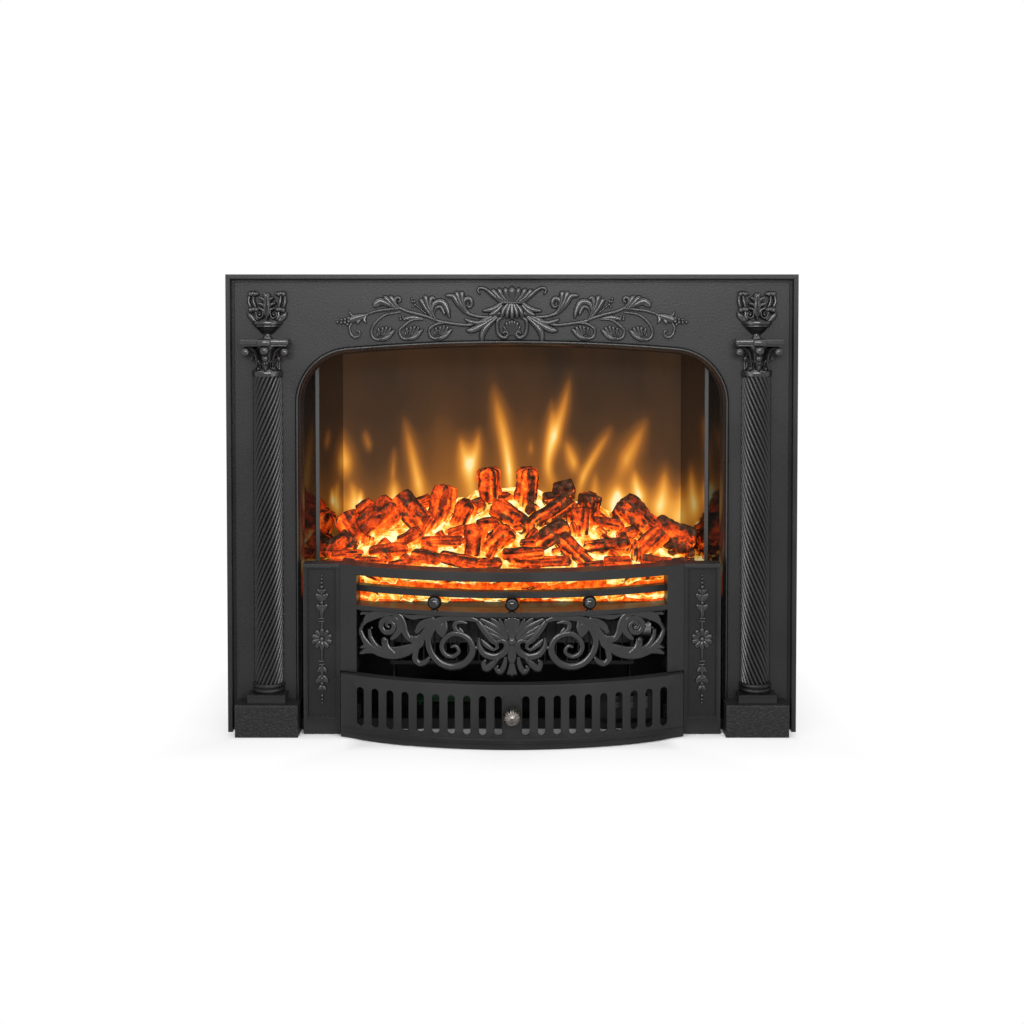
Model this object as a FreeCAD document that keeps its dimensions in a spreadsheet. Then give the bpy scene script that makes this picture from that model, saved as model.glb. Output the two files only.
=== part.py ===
import FreeCAD, Part
import math
import os
import re

import Sketcher
from FreeCAD import Placement, Rotation, Vector

# Frame: X to the right, Y to the rear, Z up. The origin lies on the floor at mid width, in the plane
# where the back of the surround's rim seats on the wall. Forward distances are measured from that plane.

DIMENSIONS = {
    # Surround panel
    "overall_width": 750,
    "overall_height": 604,
    "rim_width": 6,
    "rim_front": 22,
    "groove_width": 4,
    "panel_back": 9,
    "field_back": 12,
    "field_front": 14,
    # Arched opening and its moulding
    "surround_width": 99,
    "crown_drop": 95.5,
    "crown_radius": 2500,
    "shoulder_radius": 65,
    "trim_width": 10,
    "trim_seat": 4,
    "trim_base": 3,
    "bead_width": 5.5,
    "bead_rise": 3,
    "edge_width": 2.5,
    "edge_rise": 1.5,
    "trim_leg": 3,
    # Plinths and columns
    "plinth_gap": 3,
    "plinth_margin": 13.5,
    "plinth_height": 42.3,
    "plinth_front": 45,
    "plinth_round": 1.5,
    "column_shift": 1.25,
    "block_width": 50,
    "block_front": 38,
    "block_height": 11.2,
    "ring_radius": 21.4,
    "ring_height": 6.4,
    "shaft_radius": 19.6,
    "shaft_groove": 2.4,
    "shaft_lead": 246,
    "shaft_starts": 20,
    "capital_height": 41.6,
    "collar_height": 6.6,
    "collar_radius": 20.4,
    "neck_radius": 16.4,
    "bell_radius": 22,
    "abacus_drop": 92.1,
    "abacus_height": 7.7,
    "abacus_width": 62,
    "abacus_front": 40,
    "volute_radius": 5.2,
    # Urns
    "urn_foot_radius": 9,
    "urn_stem_radius": 5,
    "urn_stem_height": 7.5,
    "urn_bowl_radius": 20.3,
    "urn_bowl_height": 20.6,
    "urn_handle_radius": 10,
    "urn_handle_rod": 4,
    "urn_leaf_height": 40,
    # Relief ornament
    "garland_drop": 84,
    "garland_height": 65,
    "garland_margin": 44,
    "garland_relief": 7,
    "drop_relief": 4,
    # Pilasters
    "pilaster_width": 48.5,
    "pilaster_gap": 2,
    "pilaster_height": 225.2,
    "pilaster_front": 30,
    "pilaster_border": 6,
    "pilaster_foot": 23,
    "pilaster_head": 2,
    "pilaster_recess": 3,
    "pilaster_cap": 5,
    "drop_margin": 4,
    "cap_overhang": 1.5,
    # Bowed grate
    "grate_front": 32,
    "bow_depth": 56,
    "stile_width": 23.1,
    "stile_base": 85,
    "stile_depth": 40,
    "bar_depth": 27,
    "top_bar_base": 213,
    "middle_bar_base": 189.3,
    "middle_bar_height": 8.2,
    "middle_bar_setback": 13.5,
    "lower_bar_base": 168,
    "lower_bar_height": 6,
    "finial_radius": 9.2,
    "finial_setback": 5,
    "finial_spacing": 99,
    "finial_ring_radius": 5,
    "finial_ring_height": 1.2,
    "fret_drop": 76,
    "fret_thick": 6,
    "fret_setback": 4,
    # Ash cover
    "cover_lift": 1.5,
    "cover_top": 84,
    "cover_lead": 9,
    "cover_gap": 2,
    "cover_thick": 4,
    "cover_lip_height": 4,
    "cover_lip_depth": 16,
    "cover_bead_base": 9.5,
    "cover_bead_height": 5,
    "cover_bead_rise": 1.5,
    "slot_width": 9.2,
    "slot_base": 19.5,
    "slot_top": 70,
    "slot_first": 17.5,
    "slot_margin": 3.8,
    "slot_count": 10,
    "knob_height": 46.4,
    "knob_radius": 11.6,
    "knob_boss_radius": 7,
    "knob_boss_length": 9,
    "knob_dome": 12,
    "slide_margin": 17.5,
    "slide_width": 6,
    "slide_height": 8,
    "slide_base": 21,
    "slide_rear": 98,
    "slide_clearance": 0.3,
    "channel_wall": 3,
    "channel_front": 5,
    "channel_rear": 104,
    # Case
    "case_lap": 14,
    "case_depth": 180,
    "case_drop": 79,
    "sheet_gauge": 1.5,
    "pan_wall": 14,
    "mount_hole_radius": 2.75,
    "mount_margin": 50,
    "mount_front_y": 30,
    "mount_rear_y": 150,
    "vent_width": 60,
    "vent_height": 5,
    "vent_pitch": 12,
    "vent_count": 7,
    "vent_drop": 125,
    "vent_offset": 120,
    # Hearth
    "baffle_drop": 10,
    "liner_lap": 3.6,
    "liner_bend_inset": 11.6,
    "liner_rear_inset": 38,
    "liner_bend_y": 35,
    "liner_start_y": 0.6,
    "strip_reach": 3,
    "strip_stand": 3,
    "screen_y": 105,
    "screen_thick": 3,
    "screen_lap": 5,
    "tray_top": 170,
    "tray_front_y": 16,
    "tray_rear_y": 176,
    "tongue_gap": 2.4,
    "tray_gap": 0.5,
    "bed_rim": 206,
    "bed_inset": 19,
    "bed_gap": 2,
    "mound_top": 306,
    "log_radius": 14,
    # Flame effect
    "reflector_y": 118,
    "reflector_inset": 2,
    "reflector_drop": 75,
    "reflector_gauge": 1.2,
    "spindle_y": 146,
    "spindle_z": 206,
    "spindle_radius": 3,
    "flag_reach": 20,
    "flag_width": 34,
    "flag_gauge": 1.2,
    "flag_count": 11,
    "flag_margin": 56,
    "running_clearance": 0.05,
    "shaft_end_play": 0.5,
    "shaft_pass": 0.3,
    "motor_radius": 19,
    "motor_length": 28,
    "bush_length": 22,
    "bush_size": 16,
    "lamp_board_gauge": 1.6,
    # Fan heater
    "heater_margin": 42.4,
    "heater_front": 24,
    "heater_rear": 80,
    "heater_base": 92,
    "heater_top": 162,
    "heater_leg_front": 20,
    "heater_leg_rear": 60,
    "blower_y": 44,
    "blower_z": 127,
    "blower_radius": 23,
    "blower_margin": 42,
    "blade_count": 20,
    "blade_depth": 6,
    "blade_gauge": 1.4,
    "element_margin": 42,
    "element_y": 6,
    "element_depth": 10,
    "element_base": 112,
    "element_top": 142,
    "fin_margin": 15,
    "fin_count": 21,
    "fin_gauge": 1.6,
    "grille_depth": 3,
    # Controls
    "panel_width": 78,
    "panel_margin": 17,
    "panel_base": 24,
    "panel_top": 68,
    "panel_forward": 40,
    "panel_gauge": 2,
    "switch_margin": 21,
    "switch_pitch": 18.2,
    "switch_height": 46.4,
    "switch_width": 13,
    "switch_length": 17,
    "switch_clearance": 0.4,
    "switch_wall": 1.5,
    "switch_pin_radius": 1.5,
    "switch_pivot_depth": 3,
    "switch_tilt": 7,
    "board_length": 90,
    "board_depth": 60,
    "board_lift": 5,
    "gland_margin": 60,
    "gland_height": 40,
    "gland_radius": 8,
    "gland_bore": 4,
    "gland_flange": 11,
}

# Places that follow the overall size through the named margins above
DERIVED = {
    "opening_half": "overall_width / 2 - surround_width",
    "opening_crown": "overall_height - crown_drop",
    "plinth_inner": "opening_half + plinth_gap",
    "plinth_outer": "overall_width / 2 - plinth_margin",
    "column_offset": "(plinth_inner + plinth_outer) / 2 + column_shift",
    "abacus_base": "overall_height - abacus_drop",
    "collar_base": "abacus_base - capital_height",
    "garland_base": "overall_height - garland_drop",
    "garland_half": "opening_half - garland_margin",
    "pilaster_outer": "opening_half - pilaster_gap",
    "pilaster_inner": "pilaster_outer - pilaster_width",
    "window_half": "pilaster_inner - stile_width",
    "slot_pitch": "(window_half - slot_margin) / slot_count",
    "slide_offset": "pilaster_inner - slide_margin",
    "case_half": "opening_half + case_lap",
    "case_height": "overall_height - case_drop",
    "inner_top": "case_height - baffle_drop",
    "mount_half_x": "case_half - mount_margin",
    "vent_base": "case_height - vent_drop",
    "liner_front_half": "opening_half + liner_lap",
    "liner_bend_half": "opening_half - liner_bend_inset",
    "liner_rear_half": "opening_half - liner_rear_inset",
    "screen_half": "liner_rear_half + screen_lap",
    "bed_half": "opening_half - bed_inset",
    "reflector_half": "liner_rear_half - reflector_inset",
    "reflector_top": "inner_top - reflector_drop",
    "tongue_half": "window_half - tongue_gap",
    "heater_half": "window_half - heater_margin",
    "blower_half": "heater_half - blower_margin",
    "element_half": "heater_half - element_margin",
    "fin_pitch": "2 * (heater_half - fin_margin) / (fin_count - 1)",
    "flag_pitch": "2 * (opening_half - flag_margin) / (flag_count - 1)",
    "panel_right": "slide_offset - panel_margin",
    "panel_left": "panel_right - panel_width",
    "switch_first": "panel_left + switch_margin",
    "gland_offset": "case_half - gland_margin",
}

doc = FreeCAD.newDocument("fireplace_insert")
sheet = doc.addObject("Spreadsheet::Sheet", "Sizes")
for row, (name, number) in enumerate(DIMENSIONS.items(), start=1):
    sheet.set(f"A{row}", name)
    sheet.set(f"B{row}", str(number))
    sheet.setAlias(f"B{row}", name)
doc.recompute()
for row, (name, expression) in enumerate(DERIVED.items(), start=len(DIMENSIONS) + 1):
    sheet.set(f"A{row}", name)
    sheet.set(f"B{row}", "=" + expression)
    sheet.setAlias(f"B{row}", name)
    doc.recompute()

NODES = {}


def qualified(expression):
    """Point every size name of an expression at the sheet."""
    return re.sub(r"\b([a-z]+(?:_[a-z]+)+)\b", r"Sizes.\1", str(expression))


def value(expression):
    """The number that an expression of size names gives now."""
    return float(sheet.evalExpression(qualified(expression)))


def bind(item, path, expression):
    item.setExpression(path, qualified(expression))


def node(label, item):
    """Give an object the name of the sub-part it is."""
    item.Label = label
    NODES[label] = item
    return item


def mirrored(label, source):
    """The left-hand twin of a right-hand piece."""
    twin = doc.addObject("Part::Mirroring", label + "_twin")
    twin.Source = source
    twin.Base = Vector(0, 0, 0)
    twin.Normal = Vector(1, 0, 0)
    return node(label, twin)


# Building blocks


def slab(name, x0, x1, y0, y1, z0, z1):
    """A box between two corners."""
    item = doc.addObject("Part::Box", name)
    for side, low, high in (("Length", x0, x1), ("Width", y0, y1), ("Height", z0, z1)):
        bind(item, side, f"({high}) - ({low})")
    for axis, low in (("x", x0), ("y", y0), ("z", z0)):
        bind(item, f"Placement.Base.{axis}", low)
    return item


AXES = {"X": Vector(1, 0, 0), "Y": Vector(0, 1, 0), "Z": Vector(0, 0, 1)}


def rod(name, axis, radius, length, x, y, z):
    """A cylinder that starts at a point and runs along an axis."""
    item = doc.addObject("Part::Cylinder", name)
    item.Placement = Placement(Vector(), Rotation(AXES["Z"], AXES[axis]))
    bind(item, "Radius", radius)
    bind(item, "Height", length)
    for direction, place in (("x", x), ("y", y), ("z", z)):
        bind(item, f"Placement.Base.{direction}", place)
    return item


def ball(name, radius, x, y, z):
    item = doc.addObject("Part::Sphere", name)
    bind(item, "Radius", radius)
    for direction, place in (("x", x), ("y", y), ("z", z)):
        bind(item, f"Placement.Base.{direction}", place)
    return item


def fused(name, pieces):
    item = doc.addObject("Part::MultiFuse", name)
    item.Shapes = pieces
    item.Refine = True
    return item


def cut(name, base, tools):
    item = doc.addObject("Part::Cut", name)
    item.Base = base
    item.Tool = tools[0] if len(tools) == 1 else fused(name + "_tools", tools)
    item.Refine = True
    return item


def drawn(body, name, plane, loops, lift="0", shift="0"):
    """A sketch of closed loops on one of a body's own planes, raised along its normal."""
    sketch = body.newObject("Sketcher::SketchObject", name)
    support = next(item for item in body.Origin.OriginFeatures if item.Role == plane)
    sketch.AttachmentSupport = [(support, "")]
    sketch.MapMode = "FlatFace"
    bind(sketch, "AttachmentOffset.Base.z", lift)
    bind(sketch, "AttachmentOffset.Base.x", shift)
    for loop in loops:
        draw_loop(sketch, loop)
    return sketch


def draw_loop(sketch, corners):
    """Lines and arcs through corners. A corner (x, y, radius, turn) starts an arc to the next one."""
    first = sketch.GeometryCount
    points = [Vector(value(corner[0]), value(corner[1]), 0) for corner in corners]
    starts = []
    ends = []
    for index, corner in enumerate(corners):
        start = points[index]
        end = points[(index + 1) % len(points)]
        is_arc = len(corner) == 4
        turns_right = is_arc and corner[3] == "right"
        if is_arc:
            sketch.addGeometry(minor_arc(start, end, value(corner[2]), turns_right))
        else:
            sketch.addGeometry(Part.LineSegment(start, end))
        starts.append((first + index, 2 if turns_right else 1))
        ends.append((first + index, 1 if turns_right else 2))
    for index, corner in enumerate(corners):
        following = starts[(index + 1) % len(points)]
        sketch.addConstraint(Sketcher.Constraint("Coincident", *ends[index], *following))
        for kind, place, axis in (("DistanceX", corner[0], -2), ("DistanceY", corner[1], -1)):
            if str(place) == "0":
                sketch.addConstraint(Sketcher.Constraint("PointOnObject", *starts[index], axis))
                continue
            pin = sketch.addConstraint(Sketcher.Constraint(kind, -1, 1, *starts[index], value(place)))
            bind(sketch, f"Constraints[{pin}]", place)
        if len(corner) == 4:
            arc = Sketcher.Constraint("Radius", first + index, value(corner[2]))
            bind(sketch, f"Constraints[{sketch.addConstraint(arc)}]", corner[2])


def minor_arc(start, end, radius, turns_right):
    """The shorter arc of a radius between two points, bulging to the right of a left turn."""
    chord = end - start
    middle = (start + end) * 0.5
    left = Vector(-chord.y, chord.x, 0).normalize()
    reach = math.sqrt(max(radius**2 - (chord.Length / 2) ** 2, 0))
    centre = middle - left * reach if turns_right else middle + left * reach
    low, high = (end, start) if turns_right else (start, end)
    angles = [math.atan2(point.y - centre.y, point.x - centre.x) for point in (low, high)]
    if angles[1] < angles[0]:
        angles[1] += 2 * math.pi
    return Part.ArcOfCircle(Part.Circle(centre, Vector(0, 0, 1), radius), *angles)


def body_of(label):
    return node(label, doc.addObject("PartDesign::Body", label))


def pad(body, sketch, length, reverse=False):
    feature = body.newObject("PartDesign::Pad", sketch.Name + "_pad")
    feature.Profile = sketch
    bind(feature, "Length", length)
    feature.Reversed = reverse
    return feature


def pocket(body, sketch, length=None, reverse=False):
    """Cut a sketch into a body by a depth, or right through on both sides of its plane."""
    feature = body.newObject("PartDesign::Pocket", sketch.Name + "_pocket")
    feature.Profile = sketch
    if length is None:
        feature.Type = "ThroughAll"
        feature.Midplane = True
    else:
        bind(feature, "Length", length)
        feature.Reversed = reverse
    return feature


def revolved(body, sketch, angle=360, reverse=False):
    """Turn a profile about its sketch's own upright axis."""
    feature = body.newObject("PartDesign::Revolution", sketch.Name + "_turned")
    feature.Profile = sketch
    feature.ReferenceAxis = (sketch, ["V_Axis"])
    feature.Angle = angle
    feature.Reversed = reverse
    return feature


def row_of(body, feature, sketch, axis, pitch, count, reverse=False):
    """Repeat a feature along one of its sketch's axes."""
    pattern = body.newObject("PartDesign::LinearPattern", feature.Name + "_row")
    pattern.Originals = [feature]
    pattern.Direction = (sketch, [axis])
    pattern.Reversed = reverse
    bind(pattern, "Length", f"({pitch}) * (({count}) - 1)")
    bind(pattern, "Occurrences", count)
    body.Tip = pattern
    return pattern


def rectangle(x0, x1, y0, y1):
    return [(x0, y0), (x1, y0), (x1, y1), (x0, y1)]


def shape_node(label, shape):
    """A sub-part whose form is worked out from the sheet's values."""
    item = doc.addObject("Part::Feature", label)
    item.Shape = shape
    item.Placement = Placement()
    return node(label, item)


# Arch: upright sides, round shoulders and a flat crown arc, tangent to each other

CORNER_X = "(opening_half - shoulder_radius)"
CORNER_RUN = f"sqrt((crown_radius - shoulder_radius) ^ 2 - {CORNER_X} ^ 2)"
CORNER_Z = f"(opening_crown - crown_radius + {CORNER_RUN})"


def arch(offset, foot):
    """Corners of the arch, offset outward, from its right foot over the crown to its left foot."""
    reach = f"(crown_radius + ({offset})) / (crown_radius - shoulder_radius)"
    tangent_x = f"({reach} * {CORNER_X})"
    tangent_z = f"(opening_crown - crown_radius + {reach} * {CORNER_RUN})"
    side = f"(opening_half + ({offset}))"
    shoulder = f"shoulder_radius + ({offset})"
    return [
        (side, foot),
        (side, CORNER_Z, shoulder, "left"),
        (tangent_x, tangent_z, f"crown_radius + ({offset})", "left"),
        (f"-{tangent_x}", tangent_z, shoulder, "left"),
        (f"-{side}", CORNER_Z),
        (f"-{side}", foot),
    ]


def backwards(corners):
    """The same open run of corners, walked the other way."""
    turned = {"left": "right", "right": "left"}
    result = []
    for index in range(len(corners) - 1, -1, -1):
        before = corners[index - 1] if index else ()
        arc = (before[2], turned[before[3]]) if len(before) == 4 else ()
        result.append(corners[index][:2] + arc)
    return result


def arch_band(inner, outer, foot):
    """A band that follows the arch between two offsets."""
    return arch(outer, foot) + backwards(arch(inner, foot))


# Surround panel and arch trim


def make_surround():
    body = body_of("surround_panel")
    half = "overall_width / 2"
    inset = "(rim_width + groove_width)"
    whole = rectangle(f"-{half}", half, "0", "overall_height")
    plate = drawn(body, "plate", "XZ_Plane", [whole], "panel_back")
    pad(body, plate, "field_back - panel_back")
    field_box = rectangle(f"-({half} - {inset})", f"{half} - {inset}", "0", f"overall_height - {inset}")
    field = drawn(body, "field", "XZ_Plane", [field_box], "field_back")
    pad(body, field, "field_front - field_back")
    rim_outline = [
        (half, "0"),
        (half, "overall_height"),
        (f"-{half}", "overall_height"),
        (f"-{half}", "0"),
        (f"-({half} - rim_width)", "0"),
        (f"-({half} - rim_width)", "overall_height - rim_width"),
        (f"{half} - rim_width", "overall_height - rim_width"),
        (f"{half} - rim_width", "0"),
    ]
    pad(body, drawn(body, "rim", "XZ_Plane", [rim_outline]), "rim_front")
    gap = drawn(body, "arch_gap", "XZ_Plane", [arch("trim_width - trim_seat", "-rim_width")], "panel_back")
    pocket(body, gap)


def make_arch_trim():
    body = body_of("arch_trim")
    foot = "plinth_height"
    leg = drawn(body, "leg", "XZ_Plane", [arch_band("0", "trim_leg", foot)])
    pad(body, leg, "field_front")
    base = drawn(body, "trim_base_band", "XZ_Plane", [arch_band("0", "trim_width", foot)], "field_front")
    pad(body, base, "trim_base")
    face = "field_front + trim_base"
    bead = drawn(body, "bead", "XZ_Plane", [arch_band("0", "bead_width", foot)], face)
    pad(body, bead, "bead_rise")
    edge = drawn(body, "edge", "XZ_Plane", [arch_band("trim_width - edge_width", "trim_width", foot)], face)
    pad(body, edge, "edge_rise")


# Plinths, columns, capitals and urns


def make_plinth():
    body = body_of("plinth_right")
    front = rectangle("plinth_inner", "plinth_outer", "0", "plinth_height")
    face = drawn(body, "plinth_face", "XZ_Plane", [front], "field_front")
    block = pad(body, face, "plinth_front - field_front")
    doc.recompute()
    front_y = -value("plinth_front")
    edges = [
        f"Edge{index}"
        for index, edge in enumerate(block.Shape.Edges, start=1)
        if all(abs(vertex.Y - front_y) < 1e-6 for vertex in edge.Vertexes) and edge.CenterOfMass.z > 1e-6
    ]
    rounded = body.newObject("PartDesign::Fillet", "plinth_edges")
    rounded.Base = (block, edges)
    bind(rounded, "Radius", "plinth_round")
    mirrored("plinth_left", body)


def half_round(body, name, profile):
    """Turn a profile through the front half about the column's upright axis, on the panel face."""
    revolved(body, drawn(body, name, "XZ_Plane", [profile], "field_front", "column_offset"), 180, True)


def make_column_base():
    body = body_of("column_base_right")
    low = "plinth_height"
    half = "block_width / 2"
    sides = rectangle(f"column_offset - {half}", f"column_offset + {half}", low, f"{low} + block_height")
    block = drawn(body, "column_block", "XZ_Plane", [sides], "field_front")
    pad(body, block, "block_front - field_front")
    ring_low = f"{low} + block_height"
    bulge = "ring_height / 2"
    core = f"ring_radius - {bulge}"
    rings = [
        ("0", ring_low),
        (core, ring_low, bulge, "left"),
        ("ring_radius", f"{ring_low} + {bulge}", bulge, "left"),
        (core, f"{ring_low} + ring_height", bulge, "left"),
        ("ring_radius", f"{ring_low} + 3 * {bulge}", bulge, "left"),
        (core, f"{ring_low} + 2 * ring_height"),
        ("0", f"{ring_low} + 2 * ring_height"),
    ]
    half_round(body, "column_rings", rings)
    mirrored("column_base_left", body)


def make_column_shaft():
    """A half column with rope flutes: star sections turned steadily up its height."""
    radius = value("shaft_radius")
    low = value("plinth_height + block_height + 2 * ring_height")
    height = value("collar_base") - low
    starts = int(value("shaft_starts"))
    turns = height / value("shaft_lead")
    steps = math.ceil(turns * starts)
    foot = Vector(value("column_offset"), -value("field_front"), low)
    rings = []
    for step in range(steps + 1):
        share = step / steps
        rings.append(star_ring(foot + Vector(0, 0, height * share), radius, starts, -turns * share))
    faces = [flat_face(rings[0]), flat_face(rings[-1])]
    for lower, upper in zip(rings, rings[1:]):
        for corner, start in enumerate(lower):
            following = (corner + 1) % len(lower)
            faces.append(flat_face([start, lower[following], upper[following]]))
            faces.append(flat_face([start, upper[following], upper[corner]]))
    shell = Part.makeShell(faces)
    shell.sewShape()
    front_half = Part.makeBox(2 * radius, radius, height, foot - Vector(radius, radius, 0))
    rope = Part.makeSolid(shell).common(front_half)
    mirrored("column_shaft_left", shape_node("column_shaft_right", rope))


def star_ring(centre, radius, starts, turns):
    """Corners of a star section, alternately on a ridge and in a groove."""
    ring = []
    for corner in range(2 * starts):
        reach = radius - (corner % 2) * value("shaft_groove")
        spoke = toward(360 * (turns + corner / (2 * starts))) * reach
        ring.append(centre + Vector(spoke.x, spoke.z, 0))
    return ring


def flat_face(corners):
    return Part.Face(Part.makePolygon(corners + corners[:1]))


def make_capital():
    core = doc.addObject("PartDesign::Body", "capital_core")
    top = "abacus_base"
    waist = "collar_base + collar_height"
    profile = [
        ("0", "collar_base"),
        ("collar_radius", "collar_base"),
        ("collar_radius", waist),
        ("neck_radius", waist),
        ("neck_radius", f"({waist} + {top}) / 2", "bell_radius * 1.5", "right"),
        ("bell_radius", top),
        ("0", top),
    ]
    half_round(core, "bell", profile)
    half = "abacus_width / 2"
    back = "-field_front"
    front = "-abacus_front"
    crown = f"{top} + abacus_height"
    left = f"column_offset - {half}"
    right = f"column_offset + {half}"
    boss_half = "volute_radius * 1.6"
    boss_left = f"column_offset - {boss_half}"
    boss_right = f"column_offset + {boss_half}"
    pieces = [
        core,
        slab("abacus", left, right, front, back, top, crown),
        slab("abacus_boss", boss_left, boss_right, f"{front} - volute_radius", back, top, crown),
        ball("capital_ball", "volute_radius", "column_offset", front, f"{top} - volute_radius * 0.8"),
    ]
    for side in (-1, 1):
        centre = f"column_offset + {side} * ({half} - volute_radius)"
        length = "abacus_front - field_front"
        low = f"{top} - volute_radius * 0.9"
        pieces.append(rod(f"volute_{side + 1}", "Y", "volute_radius", length, centre, front, low))
    mirrored("capital_left", node("capital_right", fused("capital_pieces", pieces)))


def make_urn():
    core = doc.addObject("PartDesign::Body", "urn_core")
    low = "abacus_base + abacus_height"
    stem = f"{low} + urn_stem_height"
    rim = f"{low} + urn_bowl_height"
    profile = [
        ("0", low),
        ("urn_foot_radius", low, "urn_stem_height * 1.2", "right"),
        ("urn_stem_radius", stem, "urn_bowl_radius * 1.2", "left"),
        ("urn_bowl_radius", f"{rim} - urn_stem_radius"),
        ("urn_bowl_radius", rim),
        ("0", rim),
    ]
    half_round(core, "urn_profile", profile)
    depth = value("urn_handle_rod") * 2.5
    x = value("column_offset")
    top = value(rim)
    ring = value("urn_handle_radius")
    band = value("urn_handle_rod")
    faces = [leaf(x, top - band, 90, value("urn_leaf_height"), ring * 1.7)]
    for side in (-1, 1):
        faces += scroll(x + side * ring * 1.25, top + ring * 0.9, ring, band, -90, 1.25, side)
        faces += scroll(x + side * ring * 1.3, top + ring * 2.7, ring * 0.8, band, -90, 1.25, -side)
        faces.append(disc(x + side * ring * 1.2, top + ring * 3.6, band))
        faces.append(leaf(x, top - band, 90 - side * 24, value("urn_leaf_height") * 0.9, ring * 1.1))
    crest = doc.addObject("Part::Feature", "urn_crest")
    crest.Shape = relief(faces, depth, value("field_front"))
    mirrored("urn_left", node("urn_right", fused("urn_pieces", [core, crest])))


# Relief ornament: flat outlines of leaves, scrolls and beads, raised from a face


def toward(degrees):
    return Vector(math.cos(math.radians(degrees)), 0, math.sin(math.radians(degrees)))


def leaf(x, z, heading, length, width):
    """A leaf outline of two arcs that starts at (x, z)."""
    base = Vector(x, 0, z)
    tip = base + toward(heading) * length
    middle = (base + tip) * 0.5
    side = toward(heading + 90) * (width / 2)
    edges = [Part.Arc(base, middle + side, tip).toShape(), Part.Arc(tip, middle - side, base).toShape()]
    return Part.Face(Part.Wire(edges))


def disc(x, z, radius):
    return Part.Face(Part.Wire(Part.makeCircle(radius, Vector(x, 0, z), Vector(0, 1, 0))))


def ring_part(centre, radius, width, start, sweep):
    """A stretch of a flat ring, from a heading through a sweep of at most a half turn."""
    outer = radius + width / 2
    inner = max(radius - width / 2, width / 8)
    middle = start + sweep / 2
    end = start + sweep
    edges = [
        Part.Arc(*(centre + toward(angle) * outer for angle in (start, middle, end))).toShape(),
        Part.LineSegment(centre + toward(end) * outer, centre + toward(end) * inner).toShape(),
        Part.Arc(*(centre + toward(angle) * inner for angle in (end, middle, start))).toShape(),
        Part.LineSegment(centre + toward(start) * inner, centre + toward(start) * outer).toShape(),
    ]
    return Part.Face(Part.Wire(edges))


def scroll(x, z, radius, width, start, turns, hand):
    """A spiral band of half turns that closes in on a round eye."""
    centre = Vector(x, 0, z)
    halves = max(round(turns * 2), 1)
    shrink = (radius - width * 1.2) / (halves + 1)
    faces = []
    for _ in range(halves):
        faces.append(ring_part(centre, radius, width, start, 180 * hand))
        start += 180 * hand
        centre = centre + toward(start) * shrink
        radius -= shrink
    eye = centre + toward(start) * radius
    faces.append(disc(eye.x, eye.z, width * 0.85))
    return faces


def relief(faces, depth, forward):
    """Raise outlines from a face into one solid."""
    solids = []
    for face in faces:
        face.translate(Vector(0, -forward, 0))
        solids.append(face.extrude(Vector(0, -depth, 0)))
    return solids[0].multiFuse(solids[1:]).removeSplitter()


def both_sides(faces):
    """Outlines and their mirror images about the middle."""
    return faces + [face.mirror(Vector(0, 0, 0), Vector(1, 0, 0)) for face in faces]


def make_garland():
    half = value("garland_half")
    low = value("garland_base")
    height = value("garland_height")
    band = height * 0.075

    def at(across, up):
        return half * across, low + height * up

    # Stem scrolls: place across and up, radius, first heading, turns, hand
    scrolls = [
        (0.31, 0.60, 0.23, -90, 1.5, 1),
        (0.43, 0.25, 0.16, 90, 1.25, 1),
        (0.52, 0.62, 0.17, -90, 1.25, 1),
        (0.61, 0.25, 0.14, 90, 1.25, 1),
        (0.71, 0.60, 0.15, -90, 1.25, 1),
        (0.78, 0.26, 0.13, 90, 1.25, 1),
        (0.90, 0.32, 0.11, 90, 1.25, 1),
    ]
    # Leaves: place across and up, heading, length, width
    leaves = [
        (0.20, 0.36, 0, 0.95, 0.13),
        (0.45, 0.36, 2, 0.95, 0.11),
        (0.68, 0.40, 0, 0.90, 0.10),
        (0.86, 0.42, -4, 0.40, 0.13),
        (0.36, 0.42, 55, 0.48, 0.16),
        (0.56, 0.42, 62, 0.44, 0.14),
        (0.66, 0.42, 50, 0.42, 0.13),
        (0.38, 0.38, -70, 0.36, 0.15),
        (0.57, 0.38, -70, 0.34, 0.14),
        (0.74, 0.40, -70, 0.32, 0.13),
        (0.84, 0.42, 40, 0.34, 0.14),
        (0.02, 0.48, -52, 0.62, 0.20),
        (0.02, 0.48, -15, 0.85, 0.18),
        (0.02, 0.70, 20, 0.66, 0.14),
        (0.02, 0.62, 42, 0.55, 0.16),
        (0.01, 0.62, 66, 0.46, 0.17),
    ]
    faces = []
    for across, up, radius, start, turns, hand in scrolls:
        faces += scroll(*at(across, up), height * radius, band, start, turns, hand)
    for across, up, heading, length, width in leaves:
        faces.append(leaf(*at(across, up), heading, height * length, height * width))
    faces = both_sides(faces)
    faces.append(leaf(0, low, 90, height, height * 0.3))
    faces.append(disc(0, low + height * 0.3, height * 0.22))
    shape_node("top_garland", relief(faces, value("garland_relief"), value("field_front")))


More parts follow.
